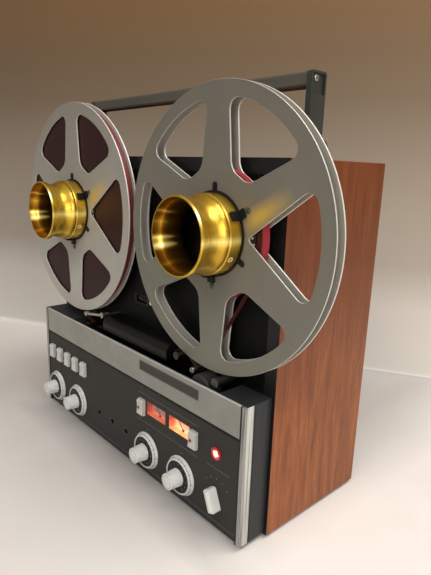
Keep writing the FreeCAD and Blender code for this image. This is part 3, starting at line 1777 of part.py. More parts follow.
def find_faults():
    """Names of objects that failed, of empty or broken shapes, and of cuts that cut nothing."""
    faults = []
    for item in doc.Objects:
        if "Invalid" in item.State or "Error" in item.State:
            faults.append(f"{item.Label} failed")
    for node in nodes:
        if node.Shape.isNull() or not node.Shape.isValid() or not node.Shape.Solids:
            faults.append(f"{node.Label} has no sound shape")
    for cut in cuts:
        base = cut.BaseFeature
        if cut.Shape.isNull() or cut.Shape.Volume > base.Shape.Volume - 0.001:
            faults.append(f"{cut.Label} of {owner_of(cut).Label} cuts nothing")
    return faults


def write_nodes():
    os.makedirs("parts", exist_ok=True)
    for node in nodes:
        node.Shape.exportStep(os.path.join("parts", f"{node.Label}.step"))
        box = node.Shape.BoundBox
        corners = [box.XMin, box.YMin, box.ZMin, box.XMax, box.YMax, box.ZMax]
        numbers = " ".join(f"{corner:.1f}" for corner in corners)
        print(node.Label, len(node.Shape.Solids), numbers)


make_everything()
doc.recompute()
problems = find_faults()
if problems:
    raise SystemExit("\n".join(problems))
write_nodes()
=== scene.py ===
import math
from collections import namedtuple

import bmesh
import bpy
from mathutils import Matrix, Vector


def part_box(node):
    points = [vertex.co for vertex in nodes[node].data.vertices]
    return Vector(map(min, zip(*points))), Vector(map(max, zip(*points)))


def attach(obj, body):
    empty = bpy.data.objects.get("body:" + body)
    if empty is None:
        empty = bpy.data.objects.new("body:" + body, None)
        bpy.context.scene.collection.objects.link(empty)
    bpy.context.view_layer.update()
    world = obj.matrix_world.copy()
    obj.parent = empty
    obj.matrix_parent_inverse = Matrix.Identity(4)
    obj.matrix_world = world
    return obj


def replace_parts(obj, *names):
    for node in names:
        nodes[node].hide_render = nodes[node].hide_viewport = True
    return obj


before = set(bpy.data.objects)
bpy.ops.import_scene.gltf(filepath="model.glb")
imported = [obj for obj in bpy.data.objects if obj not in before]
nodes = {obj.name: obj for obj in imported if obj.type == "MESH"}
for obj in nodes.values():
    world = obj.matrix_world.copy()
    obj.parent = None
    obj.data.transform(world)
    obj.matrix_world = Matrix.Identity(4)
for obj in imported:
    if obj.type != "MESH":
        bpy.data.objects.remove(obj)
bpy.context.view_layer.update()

MM = 0.001
SIDES = ("left", "right")
CONTROLS = ("left_outer", "left_inner", "right_inner", "right_outer")

# Camera, fitted to the photograph
PHOTO_WIDTH = 431
PHOTO_HEIGHT = 575
FOCAL_PIXELS = 503.3
OPTICAL_CENTRE = (212.5, 288.9)
CAMERA_PLACE = (478.9 * MM, -371.6 * MM, 350.5 * MM)
CAMERA_AZIMUTH = 47.64
CAMERA_DIP = 13.41
CAMERA_ROLL = 1.95
SENSOR = 36

# Sizes of the small pieces that are added here, in millimetres
PRINT_THICKNESS = 0.06
PRINT_ROOT = 0.02
LINE_WIDTH = 0.35
DOT_RADIUS = 0.7
NUMERAL_HEIGHT = 2.6
COUNTER_NUMERAL = 3.0
TAPE_THICKNESS = 0.15
REEL_SCREW_RADIUS = 3.0
REEL_SCREW_PLACE = 49.2
REEL_SCREW_ANGLES = (30, 150, 270)
HUB_SCREW_RADIUS = 1.3
HUB_SCREW_PLACES = ((47.5, 1.6), (49.5, -4.2))
SET_SCREW_RADIUS = 2.7
SET_SCREW_FORWARD = 8.6
SET_SCREW_ANGLE = -30
SCREW_RISE = 0.42
SCREW_DOME = 0.92
SCREW_SLOT = 0.16
SCREW_CROSS = 0.7
SCREW_SLOT_FLOOR = 0.35
ARM_SCREW_RADIUS = 3.1
ARM_SCREW_INSET = (2, 9, 5.4)
PANEL_SCREW_RADIUS = 2.6
PANEL_SCREW_INSET = 7.5
PLATE_SCREW_RADIUS = 1.8
PLATE_SCREW_INSETS = (5, 4, 5)
DECK_SCREW_RADIUS = 2.2

# Parts of the scales on the dials and in the meters, in millimetres and degrees
DIAL_RADIUS = 17.4
DIAL_DEPTH = 1.6
DIAL_FACE = 0.8
DIAL_NUMERALS = 13.4
DIAL_TICKS = (15.7, 17.2)
SKIRT_TICKS = ((19.1, 0.5), (20.9, 3.2))
SKIRT_LINE = (1.5, 1.9)
CAP_LINE = (6.2, 6.8)
DIAL_SWEEP = 300
DIAL_STEPS = 10
DIAL_MARK = (25.5, 2.6, 0.6)
SELECTOR_DOTS = 21
SELECTOR_ANGLES = (45, 67.5, 90, 112.5, 135)
RECORD_MARK_RADIUS = 1.9
KEYS_RULE_DROP = 4.6
FOOT_RULE_RISE = 0.9
RECORD_RULE_ABOVE = (2.4, 1.1, 6.5)
RECORD_RULE_BELOW = (6.7, 8)
SHORT_RULES = (14.3, 33.9)
SHORT_RULE_LENGTH = 3
SHORT_RULE_RISE = 16.2
LAMP_RULE = (12.9, 18.2, 16.3)
RED_DOT = (3.6, 13.5)
RECORD_MARK_ASIDE = 1.2
METER_SWEEP = 88
METER_STEPS = 11
METER_RED_STEPS = 3
METER_TICKS = 10.6
METER_TICK_WIDTH = 0.3
METER_TICK_LENGTHS = (1.9, 1.2)
METER_NUMERALS = 12.4
METER_NUMERAL_HEIGHT = 1.7
METER_READINGS = ((1, "20"), (5, "10"), (8, "0"))
METER_MARGIN = 2.8
METER_WIDTH = 34
METER_CAVITY = 6
METER_PIVOT_RISE = 1.9
METER_LINING = 0.15
METER_GAP = 0.2
METER_FLOOR_THICKNESS = 0.3
METER_CARD_THICKNESS = 0.4
METER_CARD_BEVEL = 0.1
METER_CARD_LOW = (3.4, 2.6)
METER_CARD_HIGH = (1.0, 0.9)
METER_PANE = (0.5, 1.4)
METER_PANE_BEVEL = 0.15

# Places that the model's boxes don't give, in millimetres
NAMEPLATE_LEFT = 38.0
NAMEPLATE_RIGHT = 139.1
NAMEPLATE_LOW = 130.6
NAMEPLATE_HIGH = 141.6
NAMEPLATE_RECESS = 0.8
NAMEPLATE_THICKNESS = 0.45
NAMEPLATE_BEVEL = 0.12
NAMEPLATE_RIM = 0.7
NAMEPLATE_RIM_RISE = (0.02, 0.27)
COUNTER_READING = (0, 4, 1, 7)
COUNTER_PITCH = 5
DECK_RIM = 0.8
LEFT_GUIDE = (-89.6, 147.4)
RIGHT_GUIDE = (95, 162.5)
GUIDE_RADIUS = 3
TRIM_RETURN = 10.8
TRIM_SHADOW = 2.4
TRIM_GROOVE = 1.5
STRIP_SHADOW = 3.4
STRIP_EDGE = 0.7
LAST_HEAD = (45.8, 161.0)
HEAD_ROUND = 7.5

# Forms that stand in for the model's plainer ones, in millimetres and degrees
REEL_RADIUS = 133.32
REEL_BORE = 38.1
FLANGE_THICKNESS = 1.6
FLANGE_BEVEL = 0.3
KEYWAY_ANGLES = (90, 210, 330)
KEYWAY_HALF_WIDTH = 1.75
KEYWAY_REACH = 45.5
WINDOW_TIP = 42.8
WINDOW_LEAN = 35.4
WINDOW_INNER = 60
WINDOW_OUTER = 119.8
INNER_ROUNDING = 16
OUTER_ROUNDING = 9
TIP_ROUNDING = 3
HUB_RADIUS = 51.5
PACK_RADIUS = {"left": 129.5, "right": 61}
PACK_BEVEL = 0.3
PIN_HALF_WIDTH = 2.4
PIN_REACH = (38.6, 47)
PIN_THICKNESS = 1.5
PIN_BEVEL = 0.3
GRIP_PLUG = (-2, 31.7)
GRIP_SHOULDER = ((5.5, 31.7), (5.5, 34.7), (6.5, 36.75))
GRIP_WAIST = ((9, 36.75), (20.6, 29.8), (29.6, 35.5))
GRIP_LIP = ((1, 36.1), (0, 35.1), (0, 34.1))
GRIP_WALL = 2.1
BORE_FLOOR = ((5, 30.3), (-1, 30), (-1, 0))

# Painted highlights on the gilt, as bright streaks: bearing from the side, half-width in degrees, and
# strength
BORE_GLINTS = ((38, 6, 0.5), (18, 13, 0.4), (-8, 7, 0.8), (-21, 10, 1.0), (-55, 8, 0.35))
BODY_GLINTS = ((-3, 15, 0.7), (-50, 14, 0.4), (38, 16, 0.25))
LIP_GLINT = (34, 28, 0.85)
LIP_DEPTH = 1.8
# Depths below the mouth over which the bore is painted darker into black shade
BORE_SHADE = (12.0, 33.0)

# Painted reflection of the gold light that the adapter throws on a spoke: how far below its middle, its edge,
# start and end
THROWN_ANGLE = 30
THROWN_BELOW = 0.010
THROWN_EDGE = (0.002, 0.012)
THROWN_START = (0.036, 0.052)
THROWN_END = (0.062, 0.100)

# The room behind the object, in metres and degrees
WALL_TURN = 30.2
WALL_DISTANCE = 0.344
WALL_HEIGHT = 2.2
WALL_CURVE = 0.012
STAGE_HALF_WIDTH = 3.0
STAGE_FRONT = -2.4
# Painted shadow on the floor in front of and beside the object, and painted shade that darkens floor and wall
# to the left
SHADE_AHEAD = (0.078, 0.125)
SHADE_BESIDE = (0.12, 0.24)
SHADE_DEPTH = 0.66
FLOOR_SHADE_FADE = (-0.2, 0.2, 0.87, 1.0)
WALL_SHADE_FADE = (-0.5, 0.3, 0.74, 0.95)

# Light of the room, and lamps: name, place, target, size, power and colour
SKY_HEIGHTS = (-0.4, 1.0)
SKY_TONES = ((0.15, (0.29, 0.28, 0.27, 1)), (0.8, (0.70, 0.69, 0.67, 1)))
SKY_STRENGTH = 0.8
LIGHTS = (
    ("key_light", (0.5, -1.6, 1.6), (0, 0, 0.2), (1.1, 0.8), 16, (1.0, 0.985, 0.965)),
    ("side_light", (1.9, -0.45, 0.9), (0.1, 0, 0.2), (0.9, 0.9), 13, (1.0, 0.985, 0.97)),
    ("top_light", (0.75, 0.4, 1.7), (0, -0.1, 0.15), (1.0, 0.9), 21, (1.0, 0.985, 0.97)),
)


def paint(red, green, blue):
    """A colour as it looks on screen, turned into the numbers that a shader takes."""
    def linear(share):
        if share <= 0.04045:
            return share / 12.92
        return ((share + 0.055) / 1.055) ** 2.4
    return tuple(linear(part / 255) for part in (red, green, blue)) + (1,)


BLACK = paint(0, 0, 0)


def dimmed(colour, share):
    return tuple(part * share for part in colour[:3]) + (1,)


Box = namedtuple("Box", "low high middle")


def node_box(name):
    low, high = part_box(name)
    return Box(low, high, (low + high) / 2)


def on_axle(centre, y):
    """Place at a depth, on an axle that runs front to back."""
    return Vector((centre.x, y, centre.z))


class Signal:
    """What a node gives; the usual signs join it to others with more nodes."""

    def __init__(self, owner, socket):
        self.maths = owner.maths
        self.socket = socket

    def __add__(self, other):
        return self.maths("ADD", self, other)

    def __radd__(self, other):
        return self.maths("ADD", other, self)

    def __sub__(self, other):
        return self.maths("SUBTRACT", self, other)

    def __rsub__(self, other):
        return self.maths("SUBTRACT", other, self)

    def __mul__(self, other):
        return self.maths("MULTIPLY", self, other)

    def __gt__(self, other):
        return self.maths("GREATER_THAN", self, other)

    def __lt__(self, other):
        return self.maths("LESS_THAN", self, other)

    def __abs__(self):
        return self.maths("ABSOLUTE", self)


class Nodes:
    """The nodes of a material or of the room's light."""

    def __init__(self, tree, place):
        self.tree = tree
        here = self.add("ShaderNodeTexCoord")
        self.place = Signal(self, here.outputs[place])
        self.facing = Signal(self, here.outputs["Normal"])

    def add(self, kind, settings=None, **inputs):
        made = self.tree.nodes.new(kind)
        for name, value in (settings or {}).items():
            setattr(made, name, value)
        for name, value in inputs.items():
            self.feed(made.inputs[name], value)
        return made

    def feed(self, socket, value):
        if isinstance(value, Signal):
            self.tree.links.new(value.socket, socket)
        else:
            socket.default_value = value

    def stretched(self, x, y, z, place=None):
        mapping = self.add("ShaderNodeMapping", Vector=place or self.place, Scale=(x, y, z))
        return Signal(self, mapping.outputs["Vector"])

    def noise(self, place, scale, detail=3.0, roughness=0.5, warp=0.0):
        made = self.add("ShaderNodeTexNoise", Vector=place, Scale=scale, Detail=detail,
                        Roughness=roughness, Distortion=warp)
        return Signal(self, made.outputs[0])

    def rings(self, radius, y, count):
        """Fine rings of turned metal."""
        return self.noise(self.vector(radius, y, 0.0), count, 3, 0.6)

    def maths(self, operation, first, second=0.0):
        made = self.add("ShaderNodeMath", {"operation": operation})
        self.feed(made.inputs[0], first)
        self.feed(made.inputs[1], second)
        return Signal(self, made.outputs[0])

    def rescale(self, value, low, high, new_low=0.0, new_high=1.0):
        made = self.add("ShaderNodeMapRange", Value=value)
        for place, number in enumerate((low, high, new_low, new_high), start=1):
            made.inputs[place].default_value = number
        return Signal(self, made.outputs[0])

    def ramp(self, value, *stops):
        made = self.add("ShaderNodeValToRGB", Fac=value)
        colours = made.color_ramp.elements
        while len(colours) < len(stops):
            colours.new(1.0)
        for element, (place, colour) in zip(colours, stops):
            element.position = place
            element.color = colour
        return Signal(self, made.outputs["Color"])

    def blend(self, kind, first_place, output, share, first, second):
        made = self.add("ShaderNodeMix", {"data_type": kind})
        for place, value in ((0, share), (first_place, first), (first_place + 1, second)):
            self.feed(made.inputs[place], value)
        return Signal(self, made.outputs[output])

    def mix(self, share, first, second):
        """A colour between two others."""
        return self.blend("RGBA", 6, 2, share, first, second)

    def choose(self, share, first, second):
        """A number between two others."""
        return self.blend("FLOAT", 2, 0, share, first, second)

    def mottle(self, drift, first, second):
        """Two close tones that drift into each other."""
        return self.mix(self.rescale(drift, 0.3, 0.7), first, second)

    def parts(self, vector=None):
        made = self.add("ShaderNodeSeparateXYZ", Vector=vector or self.place)
        return [Signal(self, output) for output in made.outputs]

    def vector(self, x, y, z):
        made = self.add("ShaderNodeCombineXYZ")
        for socket, value in zip(made.inputs, (x, y, z)):
            self.feed(socket, value)
        return Signal(self, made.outputs[0])


class Finish(Nodes):
    """One procedural material: its shader and the nodes that feed it."""

    def __init__(self, name, colour, roughness, **more):
        self.material = bpy.data.materials.new(name)
        self.material.use_nodes = True
        super().__init__(self.material.node_tree, "Object")
        self.shader = self.tree.nodes["Principled BSDF"]
        self.give("Base Color", colour)
        self.give("Roughness", roughness)
        for words, value in more.items():
            self.give(words.replace("_", " "), value)

    def give(self, name, value):
        self.feed(self.shader.inputs[name], value)

    def front(self):
        """One where a surface faces the front, and nought elsewhere."""
        return self.parts(self.facing)[1] < -0.5

    def radius_from(self, centre):
        """Distance from an axle that runs front to back through a point."""
        x, y, z = self.parts()
        across = x - centre.x
        up = z - centre.z
        return self.maths("SQRT", across * across + up * up)

    def roughen(self, value, low, high):
        self.give("Roughness", self.rescale(value, 0.3, 0.7, low, high))

    def glow(self, colour, strength):
        self.give("Base Color", colour)
        self.give("Emission Color", colour)
        self.give("Emission Strength", strength)

    def bump(self, height, depth):
        made = self.add("ShaderNodeBump", Height=height, Distance=depth, Strength=1.0)
        self.feed(self.shader.inputs["Normal"], Signal(self, made.outputs["Normal"]))

    def stipple(self):
        """The fine even texture of sprayed paint and moulded plastic."""
        self.bump(self.noise(self.place, 2600, 2), 0.00002)


def between(value, low, high):
    return (value > low) * (value < high)


def walnut():
    """Oiled veneer with blackened front edges; its grain stands upright on the sides, and painted shade
    darkens it towards the top.
    """
    finish = Finish("walnut_veneer", paint(140, 82, 46), 0.4, Specular_IOR_Level=0.35)
    x, y, z = finish.parts()
    side = abs(x) > case_inside
    grain = finish.vector(finish.choose(side, z, x), y, finish.choose(side, x, z))
    figure = finish.noise(finish.stretched(1, 1, 0.12, grain), 60, 5, 0.6, 1.4)
    streaks = finish.noise(finish.stretched(1, 1, 0.024, grain), 760, 5, 0.7, 0.2)
    pores = finish.noise(finish.stretched(1, 1, 0.03, grain), 1300, 2, 0.5)
    colour = finish.ramp(figure * 0.4 + streaks * 0.6, (0.32, paint(82, 36, 12)), (0.46, paint(124, 64, 26)),
                         (0.56, paint(146, 82, 38)), (0.70, paint(168, 104, 56)))
    dark_pores = finish.rescale(pores, 0.58, 0.72, 0.0, 0.55)
    veneer = finish.mix(dark_pores, colour, paint(66, 34, 18))
    # painted shade: the veneer turns darker and more saturated towards the top of the case
    painted_shade_veneer = finish.mix(0.64, veneer, paint(82, 34, 7))
    veneer = finish.mix(finish.rescale(z, 0.10, 0.26), veneer, painted_shade_veneer)
    finish.give("Base Color", finish.mix(finish.front(), veneer, paint(17, 16, 15)))
    finish.roughen(streaks, 0.34, 0.5)
    finish.bump(streaks - dark_pores, 0.00006)
    return finish.material


def painted(name, colour, roughness=0.5, speckle=0.08, grain=2600, depth=0.00002, **more):
    """Sprayed or moulded surface: a fine even texture and a faint drift of its tone."""
    finish = Finish(name, colour, roughness, **more)
    drift = finish.noise(finish.place, 28, 3)
    lighter = tuple(min(1, part * (1 + speckle) + 0.002) for part in colour[:3]) + (1,)
    finish.give("Base Color", finish.mottle(drift, dimmed(colour, 1 - speckle), lighter))
    finish.roughen(drift, max(0.04, roughness - 0.05), roughness + 0.05)
    finish.bump(finish.noise(finish.place, grain, 2), depth)
    return finish.material


def rubber(name):
    return painted(name, paint(9, 9, 9), 0.55, 0.1, Specular_IOR_Level=0.25)


def brushed(name, colour, roughness=0.35, lines=(0.02, 1, 1), metallic=1.0, depth=0.00001):
    """Metal with fine straight lines; the small number in lines is the way that they run."""
    finish = Finish(name, colour, roughness, Metallic=metallic)
    place = finish.stretched(*lines)
    hair = finish.noise(place, 2200, 3, 0.6)
    tone = hair * 0.6 + finish.noise(place, 240, 2) * 0.4
    finish.give("Base Color", finish.mix(finish.rescale(tone, 0.35, 0.65), dimmed(colour, 0.86), colour))
    finish.roughen(hair, roughness - 0.05, roughness + 0.09)
    finish.bump(hair, depth)
    return finish.material


def gilt(name, centre, mouth):
    """Gold-coloured metal turned in rings, with painted highlights in long streaks that also glow; its bore
    is painted darker into black shade with depth.
    """
    finish = Finish(name, paint(168, 122, 34), 0.3, Metallic=0.85)
    x, y, z = finish.parts()
    radius = finish.radius_from(centre)
    rings = finish.rings(radius, y, 1300)
    aside = x - centre.x
    up = z - centre.z
    across, ahead, rise = finish.parts(finish.facing)
    wall = across * aside + rise * up < -0.1 * MM
    floor = (radius < (BORE_FLOOR[0][1] - 0.2) * MM) * (ahead < -0.5)
    inside = finish.maths("MAXIMUM", wall, floor)

    def streaks(sideways, table):
        bearing = finish.maths("ARCTAN2", up, sideways) * (180 / math.pi)
        return sum(finish.rescale(abs(bearing - angle), 0.0, spread, strength, 0.0)
                   for angle, spread, strength in table)

    # painted shade: the bore darkens to black with depth
    deep = finish.rescale(y, mouth + BORE_SHADE[0] * MM, mouth + BORE_SHADE[1] * MM)
    bore_light = streaks(aside * -1.0, BORE_GLINTS) * (1.0 - deep)
    body_light = streaks(aside, BODY_GLINTS) + (y < mouth + LIP_DEPTH * MM) * streaks(aside, (LIP_GLINT,))
    grain = (rings - 0.5) * 0.3
    bore = finish.ramp(bore_light + grain, (0.0, paint(150, 98, 20)), (0.35, paint(208, 156, 44)),
                       (0.7, paint(246, 216, 108)), (1.0, paint(255, 250, 204)))
    body = finish.ramp(body_light + grain, (0.0, paint(206, 164, 54)), (0.3, paint(228, 190, 74)),
                       (0.65, paint(248, 220, 112)), (0.95, paint(255, 248, 194)))
    # the black of the bore's painted shade
    black = finish.mix(finish.rescale(rings, 0.4, 0.7), paint(8, 7, 7), paint(24, 20, 17))
    light = finish.choose(inside, body_light, bore_light)
    finish.give("Base Color", finish.mix(inside, body, finish.mix(deep, bore, black)))
    # the painted highlights also glow a little, though the gilt is no lamp
    finish.give("Emission Color", paint(255, 226, 130))
    finish.give("Emission Strength", finish.rescale(light, 0.3, 1.0, 0.0, 0.45))
    finish.roughen(rings, 0.26, 0.36)
    finish.bump(rings, 0.000006)
    return finish.material


def reel_metal(side):
    """Satin reel flanges with bright cut edges that carry a painted highlight; painted light lightens the
    lower face and the back flange, and a painted reflection of the gold light that the adapter throws lies on
    the nearest spoke.
    """
    centre = reel_centres[side]
    low = node_box(side + "_reel_flanges").low
    # painted light: each flange is lighter low than high, the back flange lighter against its shade, and the
    # cut edges get a painted highlight tone
    upper, lower, back_painted_light, bright = REEL_PAINTED_LIGHT_TONES[side]
    finish = Finish("reel_metal_" + side, upper, 0.5, Metallic=0.35)
    x, y, z = finish.parts()
    rings = finish.rings(finish.radius_from(centre), y, 1500)
    tone = finish.rescale(rings + finish.noise(finish.place, 22, 2), 0.7, 1.3, 0.88, 1.0)
    aside = x - centre.x
    up = z - centre.z
    # painted reflection: a band of the adapter's gold light along the spoke nearest to it
    turn = math.radians(THROWN_ANGLE)
    along = aside * math.cos(turn) + up * math.sin(turn)
    across = up * math.cos(turn) - aside * math.sin(turn)
    painted_gold_reflection = finish.rescale(abs(across + THROWN_BELOW), *THROWN_EDGE, 0.75, 0.0)
    painted_gold_reflection = painted_gold_reflection * finish.rescale(along, *THROWN_END, 1.0, 0.0) * finish.rescale(along, *THROWN_START)
    # painted light: the face is lighter towards the bottom of the reel
    face = finish.mix(finish.rescale(z, centre.z - 0.1, centre.z + 0.12), lower, upper)
    face = finish.mix(painted_gold_reflection, face, paint(214, 180, 74))
    # painted light: the back flange is lighter to make up for the shade of the front one
    face = finish.mix(y > low.y + 5 * MM, face, back_painted_light)
    face = finish.mix(tone, BLACK, face)
    # painted highlight on the bright cut edges
    forward = abs(finish.parts(finish.facing)[1])
    colour = finish.mix(finish.rescale(forward, 0.8, 0.95, 1.0, 0.0), face, bright)
    finish.give("Base Color", finish.mix((forward < 0.25) * 0.55, colour, face))
    finish.roughen(rings, 0.44, 0.56)
    finish.bump(rings, 0.000006)
    return finish.material


def wound_tape(name, centre, outer, colour, leader):
    """The edges of many turns of tape, with the last turns in another colour."""
    finish = Finish(name, colour, 0.42, Specular_IOR_Level=0.2)
    radius = finish.radius_from(centre)
    place = finish.vector(radius, 0.0, 0.0)
    turns = finish.noise(place, 1900, 4, 0.65)
    tone = finish.rescale(turns + finish.noise(place, 160, 2), 0.75, 1.25)
    pack = finish.mix(tone, dimmed(colour, 0.55), colour)
    outside = finish.rescale(radius, outer - 3.2 * MM, outer - 2.6 * MM)
    finish.give("Base Color", finish.mix(outside, pack, leader))
    finish.bump(turns, 0.00004)
    return finish.material


def glowing_lamp(centre):
    """A lit red lens, nearly white over the bulb."""
    finish = Finish("lamp_glow", paint(190, 20, 18), 0.22, Coat_Weight=0.4)
    facets = finish.noise(finish.place, 700, 2)
    spread = finish.radius_from(centre) + (facets - 0.5) * 0.0045
    glow = finish.ramp(finish.rescale(spread, 0.0, 5.0 * MM), (0.0, paint(255, 250, 232)),
                       (0.56, paint(255, 232, 206)), (0.72, paint(240, 40, 34)), (1.0, paint(112, 6, 8)))
    finish.glow(glow, 1.0)
    return finish.material


def lit_scale(name, low, high, cool, warm, hot, strength):
    """Paper scale of a meter, lit from beneath by a small bulb."""
    finish = Finish(name, cool, 0.6)
    x, y, z = finish.parts()
    sideways = finish.rescale(x, low.x, high.x, -1.0, 1.0)
    distance = finish.rescale(z, low.z, high.z) + sideways * sideways * 0.22
    distance = distance + finish.noise(finish.place, 160, 3) * 0.25
    finish.glow(finish.ramp(distance, (0.1, hot), (0.5, warm), (1.0, cool)), strength)
    return finish.material


def clear_window():
    """Thin clear acrylic, with fine rubbing marks."""
    finish = Finish("meter_acrylic", (1, 1, 1, 1), 0.04, Transmission_Weight=1.0, IOR=1.3)
    rubbed = finish.noise(finish.place, 240, 4)
    finish.give("Roughness", finish.rescale(rubbed, 0.35, 0.7, 0.01, 0.09))
    return finish.material


def circuit_laminate():
    """Green board with its brown edge and solder side."""
    finish = Finish("circuit_laminate", paint(64, 82, 44), 0.45)
    cloth = finish.add("ShaderNodeTexVoronoi", Vector=finish.place, Scale=900.0)
    track = finish.rescale(finish.noise(finish.stretched(1, 1, 0.25), 150, 1), 0.49, 0.52, 0.0, 0.6)
    finish.give("Base Color", finish.mix(track, paint(64, 82, 44), paint(128, 112, 58)))
    finish.bump(Signal(finish, cloth.outputs["Distance"]), 0.00004)
    return finish.material


def ring_moulding(name):
    """A black dial between the white lip and the white skirt, which has a dark line round it."""
    ring = node_box(name + "_ring")
    finish = Finish("ring_" + name, paint(216, 216, 211), 0.45, Specular_IOR_Level=0.3)
    y = finish.parts()[1]
    dial = (finish.radius_from(ring.middle) < DIAL_RADIUS * MM) * (y < ring.low.y + DIAL_DEPTH * MM)
    skirt = finish.mottle(finish.noise(finish.place, 120, 3), paint(198, 199, 195), paint(214, 215, 211))
    line = between(y, ring.low.y + SKIRT_LINE[0] * MM, ring.low.y + SKIRT_LINE[1] * MM)
    skirt = finish.mix(line, skirt, paint(92, 90, 86))
    finish.give("Base Color", finish.mix(dial, skirt, paint(6, 6, 6)))
    finish.stipple()
    return finish.material


def knob_moulding(name):
    """Pale moulded knob with a thin line round its cap."""
    finish = Finish("knob_" + name, paint(214, 215, 211), 0.42)
    radius = finish.radius_from(node_box(name + "_knob").middle)
    pale = finish.mottle(finish.noise(finish.place, 160, 3), paint(208, 209, 205), paint(221, 222, 218))
    line = finish.front() * between(radius, CAP_LINE[0] * MM, CAP_LINE[1] * MM)
    finish.give("Base Color", finish.mix(line, pale, paint(146, 145, 140)))
    finish.stipple()
    return finish.material


def housing_paint():
    """Black paint; the bright end trims return a little way along the sides."""
    finish = Finish("housing_paint", paint(34, 36, 38), 0.5, Specular_IOR_Level=0.35)
    housing = node_box("control_housing")
    x, y, z = finish.parts()
    drift = finish.noise(finish.place, 28, 3)
    black = finish.mottle(drift, paint(33, 35, 37), paint(40, 42, 44))
    side = (abs(finish.parts(finish.facing)[0]) > 0.5) * (abs(x) > housing.high.x - 0.1 * MM)
    edge = housing.low.y + (TRIM_RETURN - TRIM_SHADOW) * MM
    metal = side * (y < edge)
    # painted shadow: a black band at the back end of the trim's bright return
    shadow = side * between(y, edge, housing.low.y + TRIM_RETURN * MM)
    streaks = finish.noise(finish.stretched(1, 1, 0.01), 900, 2)
    silver = finish.mix(finish.rescale(streaks, 0.35, 0.65), paint(138, 137, 132), paint(226, 226, 221))
    finish.give("Base Color", finish.mix(metal, finish.mix(shadow, black, paint(9, 9, 9)), silver))
    finish.give("Metallic", metal * 0.5)
    finish.roughen(drift, 0.44, 0.54)
    finish.stipple()
    return finish.material


def trim_metal():
    """Bright extrusion with a groove beside the panel that is painted dark as shade."""
    finish = Finish("trim_metal", paint(176, 175, 169), 0.35, Metallic=0.5)
    x = finish.parts()[0]
    streaks = finish.noise(finish.stretched(1, 1, 0.01), 1400, 3)
    silver = finish.mix(finish.rescale(streaks, 0.38, 0.62), paint(104, 103, 98), paint(186, 185, 180))
    # painted shade: the groove beside the panel is painted near black
    groove = abs(x) < strip.high.x + TRIM_GROOVE * MM
    finish.give("Base Color", finish.mix(groove, silver, paint(26, 26, 25)))
    finish.roughen(streaks, 0.3, 0.42)
    finish.bump(streaks, 0.00001)
    return finish.material


def panel_paint():
    """Dark grey paint, with a painted shadow under the strip."""
    finish = Finish("panel_paint", paint(36, 35, 33), 0.55, Specular_IOR_Level=0.3)
    z = finish.parts()[2]
    drift = finish.noise(finish.place, 28, 3)
    grey = finish.mottle(drift, paint(40, 39, 36), paint(46, 45, 41))
    # painted shadow: a near-black band under the strip
    shadow = z > panel.high.z - STRIP_SHADOW * MM
    finish.give("Base Color", finish.mix(shadow, grey, paint(3, 3, 3)))
    finish.roughen(drift, 0.5, 0.6)
    finish.stipple()
    return finish.material


def strip_metal():
    """Satin metal with finely brushed lines, darker towards its right end, and a painted highlight along its
    upper edge.
    """
    finish = Finish("strip_metal", paint(142, 141, 132), 0.45, Metallic=0.5)
    x, y, z = finish.parts()
    hair = finish.noise(finish.stretched(0.02, 1, 1), 2400, 3, 0.6)
    tone = hair * 0.35 + finish.noise(finish.place, 60, 3) * 0.65
    satin = finish.mix(finish.rescale(tone, 0.35, 0.65), paint(151, 150, 142), paint(163, 162, 154))
    satin = finish.mix(finish.rescale(x, strip.low.x, strip.high.x, 0.0, 0.2), satin, paint(84, 84, 79))
    # painted highlight: a pale band along the upper edge
    edge = z > strip.high.z - STRIP_EDGE * MM
    finish.give("Base Color", finish.mix(edge, satin, paint(214, 212, 204)))
    finish.roughen(hair, 0.4, 0.52)
    finish.bump(hair, 0.000006)
    return finish.material


def give(material, *names):
    """Put a finish on nodes of the model."""
    for name in names:
        slots = nodes[name].data.materials
        slots.clear()
        slots.append(material)


def placed(name, data):
    """Put data in the scene as an object."""
    made = bpy.data.objects.new(name, data)
    bpy.context.scene.collection.objects.link(made)
    return made


def placed_shape(shape, name, material, smooth):
    mesh = bpy.data.meshes.new(name)
    bmesh.ops.recalc_face_normals(shape, faces=shape.faces)
    shape.to_mesh(mesh)
    shape.free()
    mesh.materials.append(material)
    for polygon in mesh.polygons:
        polygon.use_smooth = smooth
    return placed(name, mesh)


def keep(shape, name, material, body="root", smooth=False):
    """Make a piece of a shape and let it ride on a body."""
    piece = placed_shape(shape, name, material, smooth)
    if smooth:
        piece.data.set_sharp_from_angle(angle=math.radians(30))
    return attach(piece, body)


def direction(degrees):
    """A step of length one in the plane of the front, at an angle from the right."""
    angle = math.radians(degrees)
    return Vector((math.cos(angle), 0, math.sin(angle)))


def scale_angle(sweep, share):
    """Degrees of a mark on a scale that sweeps clockwise from the left over the top."""
    return 90 + sweep / 2 - sweep * share


def rectangle(left, right, bottom, top):
    return [(left, bottom), (right, bottom), (right, top), (left, top)]


def add_plate(shape, outline, back, front):
    """Add a flat plate to a shape; its outline is seen from the front."""
    near = [shape.verts.new((x, front, z)) for x, z in outline]
    far = [shape.verts.new((x, back, z)) for x, z in outline]
    shape.faces.new(near)
    shape.faces.new(reversed(far))
    for first in range(len(outline)):
        second = (first + 1) % len(outline)
        shape.faces.new((near[first], far[first], far[second], near[second]))


def add_print(shape, outline, face):
    """Add ink on a surface that faces the front."""
    add_plate(shape, outline, face + PRINT_ROOT * MM, face - PRINT_THICKNESS * MM)


def add_frame(shape, low, high, width, back, front):
    """Add four plates along the sides of a rectangle, within it."""
    for sides in ((low.x, low.x + width, low.z, high.z), (high.x - width, high.x, low.z, high.z),
                  (low.x + width, high.x - width, low.z, low.z + width),
                  (low.x + width, high.x - width, high.z - width, high.z)):
        add_plate(shape, rectangle(*sides), back, front)


